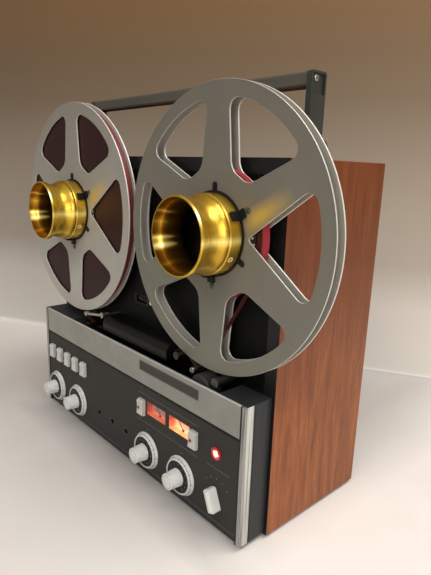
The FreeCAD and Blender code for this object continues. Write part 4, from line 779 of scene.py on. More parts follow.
def add_bar(shape, start, end, side, rise):
    """Add a small bar between two points; side is half its width and rise its height, as vectors."""
    corners = []
    for point in (start, end):
        for across in (-side, side):
            for up in (-rise / 2, rise):
                corners.append(shape.verts.new(point + across + up))
    for face in ((0, 1, 3, 2), (4, 6, 7, 5), (0, 4, 5, 1), (2, 3, 7, 6), (0, 2, 6, 4), (1, 5, 7, 3)):
        shape.faces.new([corners[number] for number in face])


def bar_outline(x, z, length, width, angle):
    """Corners of a bar about its middle, turned by an angle in degrees."""
    turn = math.radians(angle)
    run = Vector((math.cos(turn), math.sin(turn))) * length / 2
    side = Vector((-math.sin(turn), math.cos(turn))) * width / 2
    middle = Vector((x, z))
    return [middle - run - side, middle + run - side, middle + run + side, middle - run + side]


def arc(middle, radius, start, end, count):
    """Points of an arc between two angles."""
    x, z = middle
    angles = [start + (end - start) * step / count for step in range(count + 1)]
    return [(x + radius * math.cos(angle), z + radius * math.sin(angle)) for angle in angles]


def disc_outline(x, z, radius, count=20):
    return arc((x, z), radius, 0, math.tau, count)[:-1]


def printed(name, outlines, face, material, body="root"):
    shape = bmesh.new()
    for outline in outlines:
        add_print(shape, outline, face)
    return keep(shape, name, material, body)


def add_curve(shape, curve, position):
    """Add a filled curve; position turns its own sideways, upward and forward measures into a place."""
    holder = placed(curve.name, curve)
    solid = holder.evaluated_get(bpy.context.evaluated_depsgraph_get())
    mesh = bpy.data.meshes.new_from_object(solid)
    before = len(shape.verts)
    shape.from_mesh(mesh)
    shape.verts.ensure_lookup_table()
    for vertex in shape.verts[before:]:
        vertex.co = position(*vertex.co)
    bpy.data.objects.remove(holder)
    bpy.data.curves.remove(curve)
    bpy.data.meshes.remove(mesh)


def add_number(shape, text, height, position):
    curve = bpy.data.curves.new("number", "FONT")
    curve.body = text
    curve.size = height * MM
    curve.align_x = "CENTER"
    curve.align_y = "CENTER"
    curve.resolution_u = 2
    curve.extrude = PRINT_THICKNESS * MM
    add_curve(shape, curve, position)


def upright(place, face):
    """Where a number stands on a surface that faces the front."""
    return lambda across, up, out: (place.x + across, face - out, place.z + up)


def lathe(profile, centre, axis=(0, -1, 0), count=48):
    """A turned shape: profile points are (distance along the axis, radius), in millimetres."""
    shape = bmesh.new()
    rings = []
    for along, radius in profile:
        if radius == 0:
            rings.append([shape.verts.new((0, 0, along * MM))])
            continue
        rings.append([shape.verts.new((x, y, along * MM)) for x, y in disc_outline(0, 0, radius * MM, count)])
    for first, second in zip(rings, rings[1:]):
        for step in range(count):
            after = (step + 1) % count
            corners = [first[step % len(first)], first[after % len(first)],
                       second[after % len(second)], second[step % len(second)]]
            unique = list(dict.fromkeys(corners))
            if len(unique) > 2:
                shape.faces.new(unique)
    turn = Vector((0, 0, 1)).rotation_difference(Vector(axis)).to_matrix().to_4x4()
    shape.transform(Matrix.Translation(centre) @ turn)
    return shape


def screw(name, place, radius, material, body, axis=(0, -1, 0), slots=2, turn=20):
    """A domed screw head with a slot or a cross cut into it."""
    shape = bmesh.new()
    rings = 9
    count = 32
    rise = radius * SCREW_RISE
    slot_half = radius * SCREW_SLOT
    grid = []
    for ring in range(rings + 1):
        share = ring / rings
        row = []
        for step in range(count):
            angle = math.tau * step / count
            x = radius * share * math.cos(angle)
            y = radius * share * math.sin(angle)
            height = rise * math.sqrt(1 - SCREW_DOME * share * share)
            for slot in range(slots):
                way = math.radians(turn + 90 * slot)
                off_line = abs(-x * math.sin(way) + y * math.cos(way))
                reach = abs(x * math.cos(way) + y * math.sin(way))
                if off_line < slot_half and (slots == 1 or reach < radius * SCREW_CROSS):
                    height = rise * SCREW_SLOT_FLOOR
            row.append(shape.verts.new((x, y, height)))
        grid.append(row)
    grid.append([shape.verts.new((corner.co.x, corner.co.y, -0.1 * MM)) for corner in grid[-1]])
    for first, second in zip(grid, grid[1:]):
        for step in range(count):
            after = (step + 1) % count
            shape.faces.new((first[step], first[after], second[after], second[step]))
    bmesh.ops.remove_doubles(shape, verts=shape.verts, dist=1e-7)
    turn_over = Vector((0, 0, 1)).rotation_difference(Vector(axis)).to_matrix().to_4x4()
    shape.transform(Matrix.Translation(place) @ turn_over)
    return keep(shape, name, material, body)


# Painted shade on the wall, darker and browner from its foot up to its top
WALL_SHADE_TONES = ((0.0, paint(232, 226, 216)), (0.2, paint(216, 208, 197)), (0.32, paint(178, 166, 152)),
              (0.5, paint(163, 149, 133)), (0.62, paint(147, 132, 115)), (0.76, paint(126, 108, 87)),
              (0.88, paint(120, 98, 74)), (1.0, paint(124, 95, 64)))
# Painted light on the reels, per side: upper face, lower face, back flange and the highlight of the cut
# edges; the left reel is painted lighter than the right
REEL_PAINTED_LIGHT_TONES = {
    "left": (paint(152, 146, 135), paint(184, 181, 172), paint(200, 196, 186), paint(242, 240, 234)),
    "right": (paint(120, 114, 103), paint(124, 123, 111), paint(184, 179, 166), paint(232, 231, 225)),
}
TAPE_TONES = {
    "left": (paint(50, 19, 18), paint(118, 50, 46)),
    "right": (paint(58, 20, 22), paint(146, 44, 52)),
}

# Places read from the model
deck = node_box("deck_plate")
panel = node_box("control_panel")
strip = node_box("top_strip")
case_inside = deck.high.x + 0.4 * MM
reel_centres = {side: node_box(side + "_reel_flanges").middle for side in SIDES}

# Finishes that several pieces share
FAINT_INK = painted("faint_ink", paint(112, 110, 104), 0.6, 0.03)
DIAL_INK = painted("dial_ink", paint(150, 148, 141), 0.6, 0.03)
BLACK_INK = painted("black_ink", paint(22, 22, 22), 0.6, 0.03)
RED_INK = painted("red_ink", paint(150, 26, 22), 0.5, 0.05)
STEEL_SCREW = brushed("screw_steel", paint(176, 172, 164), 0.28, (1, 1, 0.05))
BLACK_SCREW = painted("screw_black", paint(34, 33, 32), 0.35)
REEL_SCREW = brushed("reel_screw_steel", paint(96, 92, 82), 0.35, (1, 1, 0.05), 0.6)
BRASS = brushed("set_screw_brass", paint(250, 236, 200), 0.4, (1, 1, 0.2), 0.2)
ACRYLIC = clear_window()


def dress_model():
    give(walnut(), "wooden_cabinet")
    give(painted("foot_rubber", paint(30, 29, 28), 0.85, 0.1, 900, 0.00008), "feet")
    give(painted("rear_panel_paint", paint(52, 52, 52), 0.6, 0.08, 1500, 0.00006), "rear_panel")
    give(painted("connector_moulding", paint(40, 40, 41), 0.5), "connector_block")
    give(brushed("zinc_plate", paint(150, 150, 146), 0.42), "chassis_frame")
    give(painted("deck_paint", paint(11, 11, 10), 0.55, 0.12, 1800, 0.00004, Specular_IOR_Level=0.12),
         "deck_plate")
    give(brushed("motor_can", paint(120, 120, 118), 0.4, (1, 0.05, 1)), "drive_motors")
    give(painted("transformer_lamination", paint(70, 66, 60), 0.5, 0.2, 900, 0.00008), "mains_transformer")
    give(circuit_laminate(), "circuit_boards")
    give(painted("arm_paint", paint(44, 47, 42), 0.4, 0.06), "handle_arms")
    give(brushed("bar_metal", paint(98, 93, 82), 0.45, (0.02, 1, 1), 0.4), "handle_bar")
    give(housing_paint(), "control_housing")
    give(panel_paint(), "control_panel")
    give(trim_metal(), "end_trims")
    give(strip_metal(), "top_strip")
    keys = [f"transport_key_{number}" for number in range(1, 6)]
    give(painted("key_moulding", paint(198, 198, 192), 0.42, 0.04), *keys)
    give(painted("record_moulding", paint(186, 185, 180), 0.42, 0.04),
         "left_record_button", "right_record_button")
    for name in CONTROLS:
        give(ring_moulding(name), name + "_ring")
        give(knob_moulding(name), name + "_knob")
    give(painted("selector_moulding", paint(214, 214, 208), 0.4, 0.03), "power_selector")
    give(painted("socket_moulding", paint(24, 24, 24), 0.3), "jack_sockets")
    give(painted("meter_case_moulding", paint(30, 29, 28), 0.4), "meter_housing")
    give(painted("needle_paint", paint(150, 66, 44), 0.4, 0.04), "left_meter_needle", "right_meter_needle")
    give(glowing_lamp(node_box("pilot_lamp").middle), "pilot_lamp")
    for side in SIDES:
        dress_reel(side)
    give(brushed("capstan_steel", paint(128, 126, 121), 0.2, (1, 0.05, 1)), "capstan")
    give(brushed("head_block_steel", paint(70, 69, 66), 0.3, (0.05, 1, 1)), "head_block")
    give(brushed("arm_steel", paint(92, 90, 85), 0.3, (0.05, 1, 1)), "pinch_arm")
    give(brushed("tension_arm_steel", paint(176, 174, 168), 0.25, (0.05, 1, 1)), "tension_arm")
    give(painted("roller_rubber", paint(34, 32, 31), 0.62, 0.1, 1400, 0.00004), "pinch_roller")
    give(painted("cover_moulding", paint(9, 9, 9), 0.34, 0.06, 900, 0.000008, Specular_IOR_Level=0.22),
         "head_cover")
    give(brushed("head_metal", paint(170, 164, 150), 0.22, (1, 1, 0.05)), "tape_heads")
    give(painted("counter_case", paint(15, 15, 15), 0.4, Specular_IOR_Level=0.2), "tape_counter")
    give(painted("counter_wheel_black", paint(18, 17, 17), 0.5, Specular_IOR_Level=0.2), "counter_wheels")
    give(painted("button_moulding", paint(206, 204, 196), 0.4), "counter_reset_button")


def dress_reel(side):
    give(brushed("turntable_metal_" + side, paint(132, 130, 124), 0.34, (1, 1, 1)), side + "_turntable")
    mouth = node_box(side + "_adapter_grip").low.y
    give(gilt("adapter_gilt_" + side, reel_centres[side], mouth), side + "_adapter_base")
    give(rubber("lug_rubber_" + side), side + "_adapter_lugs")


def rule(first, last, z):
    """Outline of a thin printed line between two places along X."""
    return bar_outline((first + last) / 2, z, last - first, LINE_WIDTH * MM, 0)


def print_panel():
    """Pale rules and dots on the control panel, and the red marks of the record buttons."""
    face = panel.low.y
    record_low = node_box("left_record_button").low
    record_high = node_box("right_record_button").high
    key = node_box("transport_key_5")
    lamp = node_box("pilot_lamp").middle
    selector = node_box("power_selector").middle
    left, right, rise = RECORD_RULE_ABOVE
    pale = [rule(record_low.x - left * MM, record_high.x + right * MM, record_high.z + rise * MM)]
    left, drop = RECORD_RULE_BELOW
    pale.append(rule(record_low.x - left * MM, record_high.x, record_low.z - drop * MM))
    left, right, drop = LAMP_RULE
    pale.append(rule(lamp.x - left * MM, lamp.x + right * MM, lamp.z - drop * MM))
    pale.append(rule(key.low.x, key.high.x, key.low.z - KEYS_RULE_DROP * MM))
    pale.append(rule(panel.low.x + MM, panel.high.x - MM, panel.low.z + FOOT_RULE_RISE * MM))
    for across in SHORT_RULES:
        first = record_low.x + across * MM
        pale.append(rule(first, first + SHORT_RULE_LENGTH * MM, record_high.z + SHORT_RULE_RISE * MM))
    for angle in SELECTOR_ANGLES:
        dot = selector + direction(angle) * SELECTOR_DOTS * MM
        pale.append(disc_outline(dot.x, dot.z, DOT_RADIUS * MM, 12))
    rise, length, width = DIAL_MARK
    for name in CONTROLS:
        ring = node_box(name + "_ring").middle
        pale.append(bar_outline(ring.x, ring.z + rise * MM, length * MM, width * MM, 90))
    printed("panel_rules", pale, face, FAINT_INK)
    across, rise = RED_DOT
    red = [disc_outline(record_low.x + across * MM, record_high.z + rise * MM, DOT_RADIUS * MM, 12)]
    printed("panel_red_dot", red, face, RED_INK)
    for side in SIDES:
        name = side + "_record_button"
        button = node_box(name)
        across = button.middle.x - RECORD_MARK_ASIDE * MM
        mark = disc_outline(across, button.middle.z, RECORD_MARK_RADIUS * MM)
        printed(name + "_mark", [mark], button.low.y, RED_INK, name)


def rounding_place(radius, reach):
    """Middle of a rounding that touches a window's upper side, at a distance from the axle."""
    lean = math.radians(WINDOW_LEAN)
    slope = math.tan(lean)
    drop = -slope * WINDOW_TIP - radius / math.cos(lean)
    steep = 1 + slope * slope
    x = (-slope * drop + math.sqrt((slope * drop) ** 2 - steep * (drop * drop - reach * reach))) / steep
    return x, slope * x + drop


def window_outline(pointed):
    """A reel window to the right of the axle: two straight sides between rounded ends."""
    lean = math.radians(WINDOW_LEAN)
    square = math.pi / 2
    x, z = rounding_place(OUTER_ROUNDING, WINDOW_OUTER - OUTER_ROUNDING)
    bearing = math.atan2(z, x)
    line = arc((x, -z), OUTER_ROUNDING, -square - lean, -bearing, 9)
    line += arc((0, 0), WINDOW_OUTER, -bearing, bearing, 28)
    line += arc((x, z), OUTER_ROUNDING, bearing, square + lean, 9)
    if pointed:
        x = WINDOW_TIP + TIP_ROUNDING / math.sin(lean)
        return line + arc((x, 0), TIP_ROUNDING, square + lean, 3 * square - lean, 8)
    x, z = rounding_place(INNER_ROUNDING, WINDOW_INNER + INNER_ROUNDING)
    bearing = math.atan2(z, x)
    line += arc((x, z), INNER_ROUNDING, square + lean, math.pi + bearing, 12)
    line += arc((0, 0), WINDOW_INNER, bearing, -bearing, 4)
    return line + arc((x, -z), INNER_ROUNDING, math.pi - bearing, 3 * square - lean, 12)


def bore_outline():
    """A reel's bore, with three round-ended keyways."""
    half = math.asin(KEYWAY_HALF_WIDTH / REEL_BORE)
    line = []
    for degrees in KEYWAY_ANGLES:
        angle = math.radians(degrees)
        reach = KEYWAY_REACH - KEYWAY_HALF_WIDTH
        middle = (reach * math.cos(angle), reach * math.sin(angle))
        line += arc(middle, KEYWAY_HALF_WIDTH, angle - math.pi / 2, angle + math.pi / 2, 8)
        line += arc((0, 0), REEL_BORE, angle + half, angle + math.tau / 3 - half, 30)
    return line


def turned_by(outline, degrees):
    angle = math.radians(degrees)
    return [(x * math.cos(angle) - z * math.sin(angle), x * math.sin(angle) + z * math.cos(angle))
            for x, z in outline]


def add_sheet(shape, outlines, centre, front, thickness, bevel):
    """Add a flat sheet with holes and bevelled edges; the first outline is its rim."""
    curve = bpy.data.curves.new("sheet", "CURVE")
    curve.dimensions = "2D"
    curve.fill_mode = "BOTH"
    curve.extrude = thickness / 2 - bevel
    curve.bevel_depth = bevel
    curve.bevel_resolution = 1
    curve.offset = -bevel
    for outline in outlines:
        points = [point for point, before in zip(outline, outline[-1:] + outline[:-1])
                  if math.dist(point, before) > 0.01]
        line = curve.splines.new("POLY")
        line.points.add(len(points) - 1)
        for corner, (x, z) in zip(line.points, points):
            corner.co = (x, z, 0, 1)
        line.use_cyclic_u = True
    add_curve(shape, curve, lambda x, z, out: (centre.x + x * MM, front + (thickness / 2 - out) * MM,
                                               centre.z + z * MM))


def build_reel(side):
    """A reel's two flanges with their six windows, its hub and its tape."""
    centre = reel_centres[side]
    flanges = node_box(side + "_reel_flanges")
    body = side + "_reel"
    outlines = [disc_outline(0, 0, REEL_RADIUS, 240), bore_outline()[::-1]]
    for number in range(6):
        outlines.append(turned_by(window_outline(number % 3 == 0), 60 * number)[::-1])
    shape = bmesh.new()
    for front in (flanges.low.y, flanges.high.y - FLANGE_THICKNESS * MM):
        add_sheet(shape, outlines, centre, front, FLANGE_THICKNESS, FLANGE_BEVEL)
    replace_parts(keep(shape, side + "_flanges", reel_metal(side), body), side + "_reel_flanges")

    depth = (flanges.high.y - flanges.low.y) / MM - 2 * FLANGE_THICKNESS
    profile = [(0, REEL_BORE), (0, HUB_RADIUS), (depth, HUB_RADIUS), (depth, REEL_BORE), (0, REEL_BORE)]
    shape = lathe(profile, on_axle(centre, flanges.high.y - FLANGE_THICKNESS * MM), count=96)
    finish = painted("hub_moulding_" + side, paint(13, 12, 12), 0.4, Specular_IOR_Level=0.25)
    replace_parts(keep(shape, side + "_hub", finish, body, True), side + "_reel_hub")

    pack = node_box(side + "_tape_pack")
    width = (pack.high.y - pack.low.y) / MM
    outer = PACK_RADIUS[side]
    profile = [(0, HUB_RADIUS), (0, outer - PACK_BEVEL), (PACK_BEVEL, outer), (width - PACK_BEVEL, outer),
               (width, outer - PACK_BEVEL), (width, HUB_RADIUS), (0, HUB_RADIUS)]
    shape = lathe(profile, on_axle(centre, pack.high.y), count=160)
    finish = wound_tape("tape_edge_" + side, centre, outer * MM, *TAPE_TONES[side])
    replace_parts(keep(shape, side + "_tape", finish, body, True), side + "_tape_pack")

    for number, (across, up) in enumerate(HUB_SCREW_PLACES, start=1):
        place = Vector((centre.x + across * MM, flanges.low.y + FLANGE_THICKNESS * MM, centre.z + up * MM))
        screw(f"{side}_hub_screw_{number}", place, HUB_SCREW_RADIUS * MM, STEEL_SCREW, body, turn=40 * number)


def grip_profile(depth):
    """The adapter's grip: a plug, a shoulder, a waist that opens to the lip, and a deep bore."""
    outside = list(GRIP_SHOULDER)
    shoulder, waist, lip = (Vector(corner) for corner in GRIP_WAIST)
    for step in range(13):
        share = step / 12
        rest = 1 - share
        outside.append(tuple(shoulder * rest ** 2 + waist * 2 * share * rest + lip * share ** 2))
    inside = [(along, radius - GRIP_WALL) for along, radius in outside[9:][::-1]]
    mouth = [(depth - back, radius) for back, radius in GRIP_LIP]
    return [(GRIP_PLUG[0], 0), GRIP_PLUG] + outside + mouth + inside + list(BORE_FLOOR)


def build_adapter(side):
    """The adapter's grip, and the rubber pins in the reel's keyways."""
    centre = reel_centres[side]
    grip = node_box(side + "_adapter_grip")
    profile = grip_profile((grip.high.y - grip.low.y) / MM)
    shape = lathe(profile, on_axle(centre, grip.high.y), count=128)
    finish = gilt("grip_gilt_" + side, centre, grip.low.y)
    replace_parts(keep(shape, side + "_grip", finish, side + "_adapter_lock", True), side + "_adapter_grip")

    face = node_box(side + "_reel_flanges").low.y
    shape = bmesh.new()
    first, last = PIN_REACH
    corners = [(first, PIN_HALF_WIDTH)]
    corners += arc((last - PIN_HALF_WIDTH, 0), PIN_HALF_WIDTH, math.pi / 2, -math.pi / 2, 8)
    corners.append((first, -PIN_HALF_WIDTH))
    for degrees in KEYWAY_ANGLES:
        outline = [(centre.x + x * MM, centre.z + z * MM) for x, z in turned_by(corners, degrees)]
        add_plate(shape, outline, face + PIN_BEVEL * MM, face - PIN_THICKNESS * MM)
    bmesh.ops.bevel(shape, geom=shape.edges[:], offset=PIN_BEVEL * MM, segments=2, affect="EDGES")
    keep(shape, side + "_adapter_pins", rubber("pin_rubber_" + side), side + "_reel")


def print_dial(name):
    """Numbers and ticks on a ring's black dial, and dark ticks down its pale skirt."""
    ring = node_box(name + "_ring")
    face = ring.low.y + DIAL_FACE * MM
    pale = bmesh.new()
    dark = bmesh.new()
    inner, outer = DIAL_TICKS
    (front_radius, front_depth), (back_radius, back_depth) = SKIRT_TICKS
    for step in range(DIAL_STEPS + 1):
        place = ring.middle + direction(scale_angle(DIAL_SWEEP, step / DIAL_STEPS)) * DIAL_NUMERALS * MM
        add_number(pale, str(step), NUMERAL_HEIGHT, upright(place, face))
    for step in range(2 * DIAL_STEPS + 1):
        angle = scale_angle(DIAL_SWEEP, step / DIAL_STEPS / 2)
        out = direction(angle)
        side = direction(angle + 90) * LINE_WIDTH / 2 * MM
        tick = ring.middle + out * (inner + outer) / 2 * MM
        length = (outer - inner) * MM * (1 if step % 2 == 0 else 0.5)
        add_print(pale, bar_outline(tick.x, tick.z, length, LINE_WIDTH * MM, angle), face)
        start = on_axle(ring.middle, ring.low.y + front_depth * MM) + out * front_radius * MM
        end = on_axle(ring.middle, ring.low.y + back_depth * MM) + out * back_radius * MM
        if step % 2:
            end = (start + end) / 2
        rise = (end - start).cross(side).normalized() * PRINT_THICKNESS * MM
        if rise.dot(out) < 0:
            rise = -rise
        add_bar(dark, start, end, side, rise)
    keep(pale, name + "_numbers", DIAL_INK, name + "_ring")
    keep(dark, name + "_skirt_ticks", BLACK_INK, name + "_ring")


def block(low, high, bevel=0.0):
    """A flat shape between two corners, its edges cut by a small bevel."""
    shape = bmesh.new()
    add_plate(shape, rectangle(low.x, high.x, low.z, high.z), high.y, low.y)
    if bevel:
        bmesh.ops.bevel(shape, geom=shape.edges[:], offset=bevel * MM, segments=2, affect="EDGES")
    return shape


def dress_nameplate():
    """The dark plate in the strip, with a lighter rim that is partly a painted highlight on its bevel."""
    floor = strip.low.y + NAMEPLATE_RECESS * MM
    low = Vector((NAMEPLATE_LEFT * MM, floor - NAMEPLATE_THICKNESS * MM, NAMEPLATE_LOW * MM))
    high = Vector((NAMEPLATE_RIGHT * MM, floor, NAMEPLATE_HIGH * MM))
    finish = brushed("nameplate_metal", paint(60, 60, 53), 0.45, (0.02, 1, 1), 0.3)
    keep(block(low, high, NAMEPLATE_BEVEL), "nameplate", finish)
    # painted highlight: a thin frame of lighter metal round the plate, as light on its bevelled edge
    rim = bmesh.new()
    back, front = (low.y - rise * MM for rise in NAMEPLATE_RIM_RISE)
    add_frame(rim, low, high, NAMEPLATE_RIM * MM, back, front)
    finish = brushed("nameplate_rim_highlight_metal", paint(112, 112, 102), 0.35, (0.02, 1, 1), 0.5)
    keep(rim, "nameplate_rim", finish)


def print_meter(side, pivot, face):
    """A meter's ticks, the last ones in red, and a few numbers."""
    dark = bmesh.new()
    red = bmesh.new()
    long, short = METER_TICK_LENGTHS
    for step in range(METER_STEPS):
        angle = scale_angle(METER_SWEEP, step / (METER_STEPS - 1))
        ink = red if step >= METER_STEPS - METER_RED_STEPS else dark
        place = pivot + direction(angle) * METER_TICKS * MM
        length = (long if step % 5 == 0 else short) * MM
        add_print(ink, bar_outline(place.x, place.z, length, METER_TICK_WIDTH * MM, angle), face)
    for step, text in METER_READINGS:
        angle = scale_angle(METER_SWEEP, step / (METER_STEPS - 1))
        place = pivot + direction(angle) * METER_NUMERALS * MM
        add_number(dark, text, METER_NUMERAL_HEIGHT, upright(place, face))
    keep(dark, side + "_meter_ticks", BLACK_INK)
    keep(red, side + "_meter_red_ticks", RED_INK)


def dress_meter(side, left, power, lamp_colours, card_colours, lining_colours):
    """Behind its acrylic window a meter has a lit floor and lining, and a card with a scale."""
    housing = node_box("meter_housing")
    margin = METER_MARGIN * MM
    low = Vector((left, housing.low.y + METER_CAVITY * MM, housing.low.z + margin))
    high = Vector((left + METER_WIDTH * MM, low.y, housing.high.z - margin))

    def lit(part, colours, share):
        return lit_scale(f"{side}_meter_{part}", low, high, *colours, share * power)

    gap = METER_GAP * MM
    glow_low = low + Vector((gap, -METER_FLOOR_THICKNESS * MM, gap))
    glow_high = high - Vector((gap, 0, gap))
    keep(block(glow_low, glow_high), side + "_meter_floor", lit("light", lamp_colours, 1.0))
    lining = bmesh.new()
    add_frame(lining, glow_low, glow_high, METER_LINING * MM, glow_low.y, panel.low.y + 0.1 * MM)
    keep(lining, side + "_meter_lining", lit("lining_light", lining_colours, 0.9))
    across, up = METER_CARD_LOW
    card_low = Vector((low.x + across * MM, glow_low.y - METER_CARD_THICKNESS * MM, low.z + up * MM))
    across, up = METER_CARD_HIGH
    card_high = Vector((high.x - across * MM, glow_low.y, high.z - up * MM))
    card = block(card_low, card_high, METER_CARD_BEVEL)
    keep(card, side + "_meter_card", lit("card", card_colours, 0.8))
    print_meter(side, Vector(((low.x + high.x) / 2, 0, low.z + METER_PIVOT_RISE * MM)), card_low.y)
    inset = (METER_GAP + METER_LINING) * MM
    front, back = (panel.low.y + depth * MM for depth in METER_PANE)
    pane_low = Vector((low.x + inset, front, low.z + inset))
    pane_high = Vector((high.x - inset, back, high.z - inset))
    keep(block(pane_low, pane_high, METER_PANE_BEVEL), side + "_meter_window", ACRYLIC)


def dress_meters():
    housing = node_box("meter_housing")
    left = housing.low.x + METER_MARGIN * MM
    right = housing.high.x - (METER_MARGIN + METER_WIDTH) * MM
    dress_meter("left", left, 0.42, (paint(196, 92, 62), paint(222, 112, 76), paint(246, 158, 116)),
                (paint(138, 118, 108), paint(160, 120, 104), paint(214, 134, 100)),
                (paint(150, 50, 28), paint(206, 78, 44), paint(244, 132, 88)))
    dress_meter("right", right, 0.8, (paint(226, 112, 72), paint(248, 158, 104), paint(255, 240, 196)),
                (paint(222, 136, 98), paint(252, 196, 144), paint(255, 252, 222)),
                (paint(170, 62, 32), paint(230, 112, 58), paint(255, 200, 130)))


def dress_counter():
    """Ten digits round each of the counter's wheels."""
    low, high, middle = node_box("counter_wheels")
    radius = (high.z - low.z) / 2
    shape = bmesh.new()
    for wheel, shown in enumerate(COUNTER_READING):
        x = middle.x + (wheel - (len(COUNTER_READING) - 1) / 2) * COUNTER_PITCH * MM
        for digit in range(10):
            turn = math.tau * (shown - digit) / 10

            def around(across, up, out, x=x, turn=turn):
                angle = turn + up / radius
                reach = radius + out + 0.01 * MM
                return (x + across, middle.y - reach * math.cos(angle), middle.z + reach * math.sin(angle))

            add_number(shape, str(digit), COUNTER_NUMERAL, around)
    keep(shape, "counter_digits", FAINT_INK, "counter_wheels")


def dress_reel_screws(side):
    """Three screws through a reel's flange into its hub, and the set screw in the adapter's side."""
    centre = reel_centres[side]
    face = node_box(side + "_reel_flanges").low.y
    for number, angle in enumerate(REEL_SCREW_ANGLES, start=1):
        place = on_axle(centre, face) + direction(angle) * REEL_SCREW_PLACE * MM
        screw(f"{side}_reel_screw_{number}", place, REEL_SCREW_RADIUS * MM, REEL_SCREW, side + "_reel",
              slots=1, turn=angle * 1.7)
    base = node_box(side + "_adapter_base")
    out = direction(SET_SCREW_ANGLE)
    place = on_axle(centre, face - SET_SCREW_FORWARD * MM) + out * (base.high.x - base.middle.x)
    wide = SET_SCREW_RADIUS
    profile = [(-0.8, 0), (-0.8, wide * 0.5), (0.1, wide * 0.55), (0.25, wide * 0.8),
               (0.1, wide), (-0.5, wide)]
    keep(lathe(profile, place, out, 24), side + "_adapter_set_screw", BRASS, side + "_reel", True)


def screw_grid(name, columns, y, rows, radius, material, axis, turn):
    """Screws where columns and rows cross, each turned its own way."""
    places = [Vector((x, y, z)) for x in columns for z in rows]
    for number, place in enumerate(places, start=1):
        screw(f"{name}_{number}", place, radius * MM, material, "root", axis, turn=turn * number)


def dress_screws():
    """Screws of the handle, the back, the sockets' plate and the deck."""
    arms = node_box("handle_arms")
    x, y, z = ARM_SCREW_INSET
    for number, way in enumerate((-1, 1), start=1):
        place = Vector((way * (arms.high.x - x * MM), arms.low.y + y * MM, arms.high.z - z * MM))
        screw(f"handle_screw_{number}", place, ARM_SCREW_RADIUS * MM, STEEL_SCREW, "handle", (way, 0, 0))
    inset = PANEL_SCREW_INSET * MM
    back = node_box("rear_panel")
    screw_grid("rear_panel_screw", (back.low.x + inset, 0, back.high.x - inset), back.high.y,
               (back.low.z + inset, back.high.z - inset), PANEL_SCREW_RADIUS, BLACK_SCREW, (0, 1, 0), 31)
    plate = node_box("connector_block")
    left, right, ends = (distance * MM for distance in PLATE_SCREW_INSETS)
    screw_grid("socket_plate_screw", (plate.low.x + left, plate.high.x - right), back.high.y,
               (plate.low.z + ends, plate.high.z - ends), PLATE_SCREW_RADIUS, STEEL_SCREW, (0, 1, 0), 47)
    screw_grid("deck_screw", (deck.low.x + inset, deck.high.x - inset), deck.low.y + DECK_RIM * MM,
               (deck.low.z + 4 * inset, deck.high.z - inset), DECK_SCREW_RADIUS, BLACK_SCREW, (0, -1, 0), 23)


def tape_route():
    """Points of the tape's middle from one pack to the other, as it winds round its guides and capstan."""
    left_pack = node_box("left_tape_pack")
    right_pack = node_box("right_tape_pack")
    capstan = node_box("capstan")
    thick = TAPE_THICKNESS / 2
    wheels = [
        (left_pack.middle.x / MM, left_pack.middle.z / MM, PACK_RADIUS["left"] - thick, 1),
        (*LEFT_GUIDE, GUIDE_RADIUS + thick, 1),
        (*LAST_HEAD, HEAD_ROUND + thick, 1),
        (*RIGHT_GUIDE, GUIDE_RADIUS + thick, -1),
        (capstan.middle.x / MM, capstan.middle.z / MM, (capstan.high.x - capstan.middle.x) / MM + thick, 1),
        (right_pack.middle.x / MM, right_pack.middle.z / MM, PACK_RADIUS["right"] - thick, 1),
    ]
    headings = []
    for (x, z, radius, turn), (next_x, next_z, next_radius, next_turn) in zip(wheels, wheels[1:]):
        apart = math.hypot(next_x - x, next_z - z)
        bearing = math.atan2(next_z - z, next_x - x)
        headings.append(bearing - math.asin((next_turn * next_radius - turn * radius) / apart))
    points = []
    for number, (x, z, radius, turn) in enumerate(wheels):
        arriving = headings[max(number - 1, 0)]
        leaving = headings[min(number, len(headings) - 1)]
        for step in range(9):
            heading = arriving + (leaving - arriving) * step / 8
            angle = heading - turn * math.pi / 2
            points.append((x + radius * math.cos(angle), z + radius * math.sin(angle)))
            if leaving == arriving:
                break
    return points


def add_tape():
    """The tape between the two packs."""
    pack = node_box("left_tape_pack")
    points = [Vector((x, 0, z)) * MM for x, z in tape_route()]
    shape = bmesh.new()
    rows = []
    front = Vector((0, pack.low.y, 0))
    back = Vector((0, pack.high.y, 0))
    for number, point in enumerate(points):
        along = points[min(number + 1, len(points) - 1)] - points[max(number - 1, 0)]
        out = Vector((-along.z, 0, along.x)).normalized() * TAPE_THICKNESS * MM / 2
        rows.append([shape.verts.new(point + step)
                     for step in (out + front, out + back, back - out, front - out)])
    for first, second in zip(rows, rows[1:]):
        for corner in range(4):
            after = (corner + 1) % 4
            shape.faces.new((first[corner], first[after], second[after], second[corner]))
    shape.faces.new(rows[0])
    shape.faces.new(reversed(rows[-1]))
    finish = painted("tape_oxide", paint(72, 30, 28), 0.3, 0.12, 900, 0.000004, Specular_IOR_Level=0.6)
    keep(shape, "tape_run", finish)


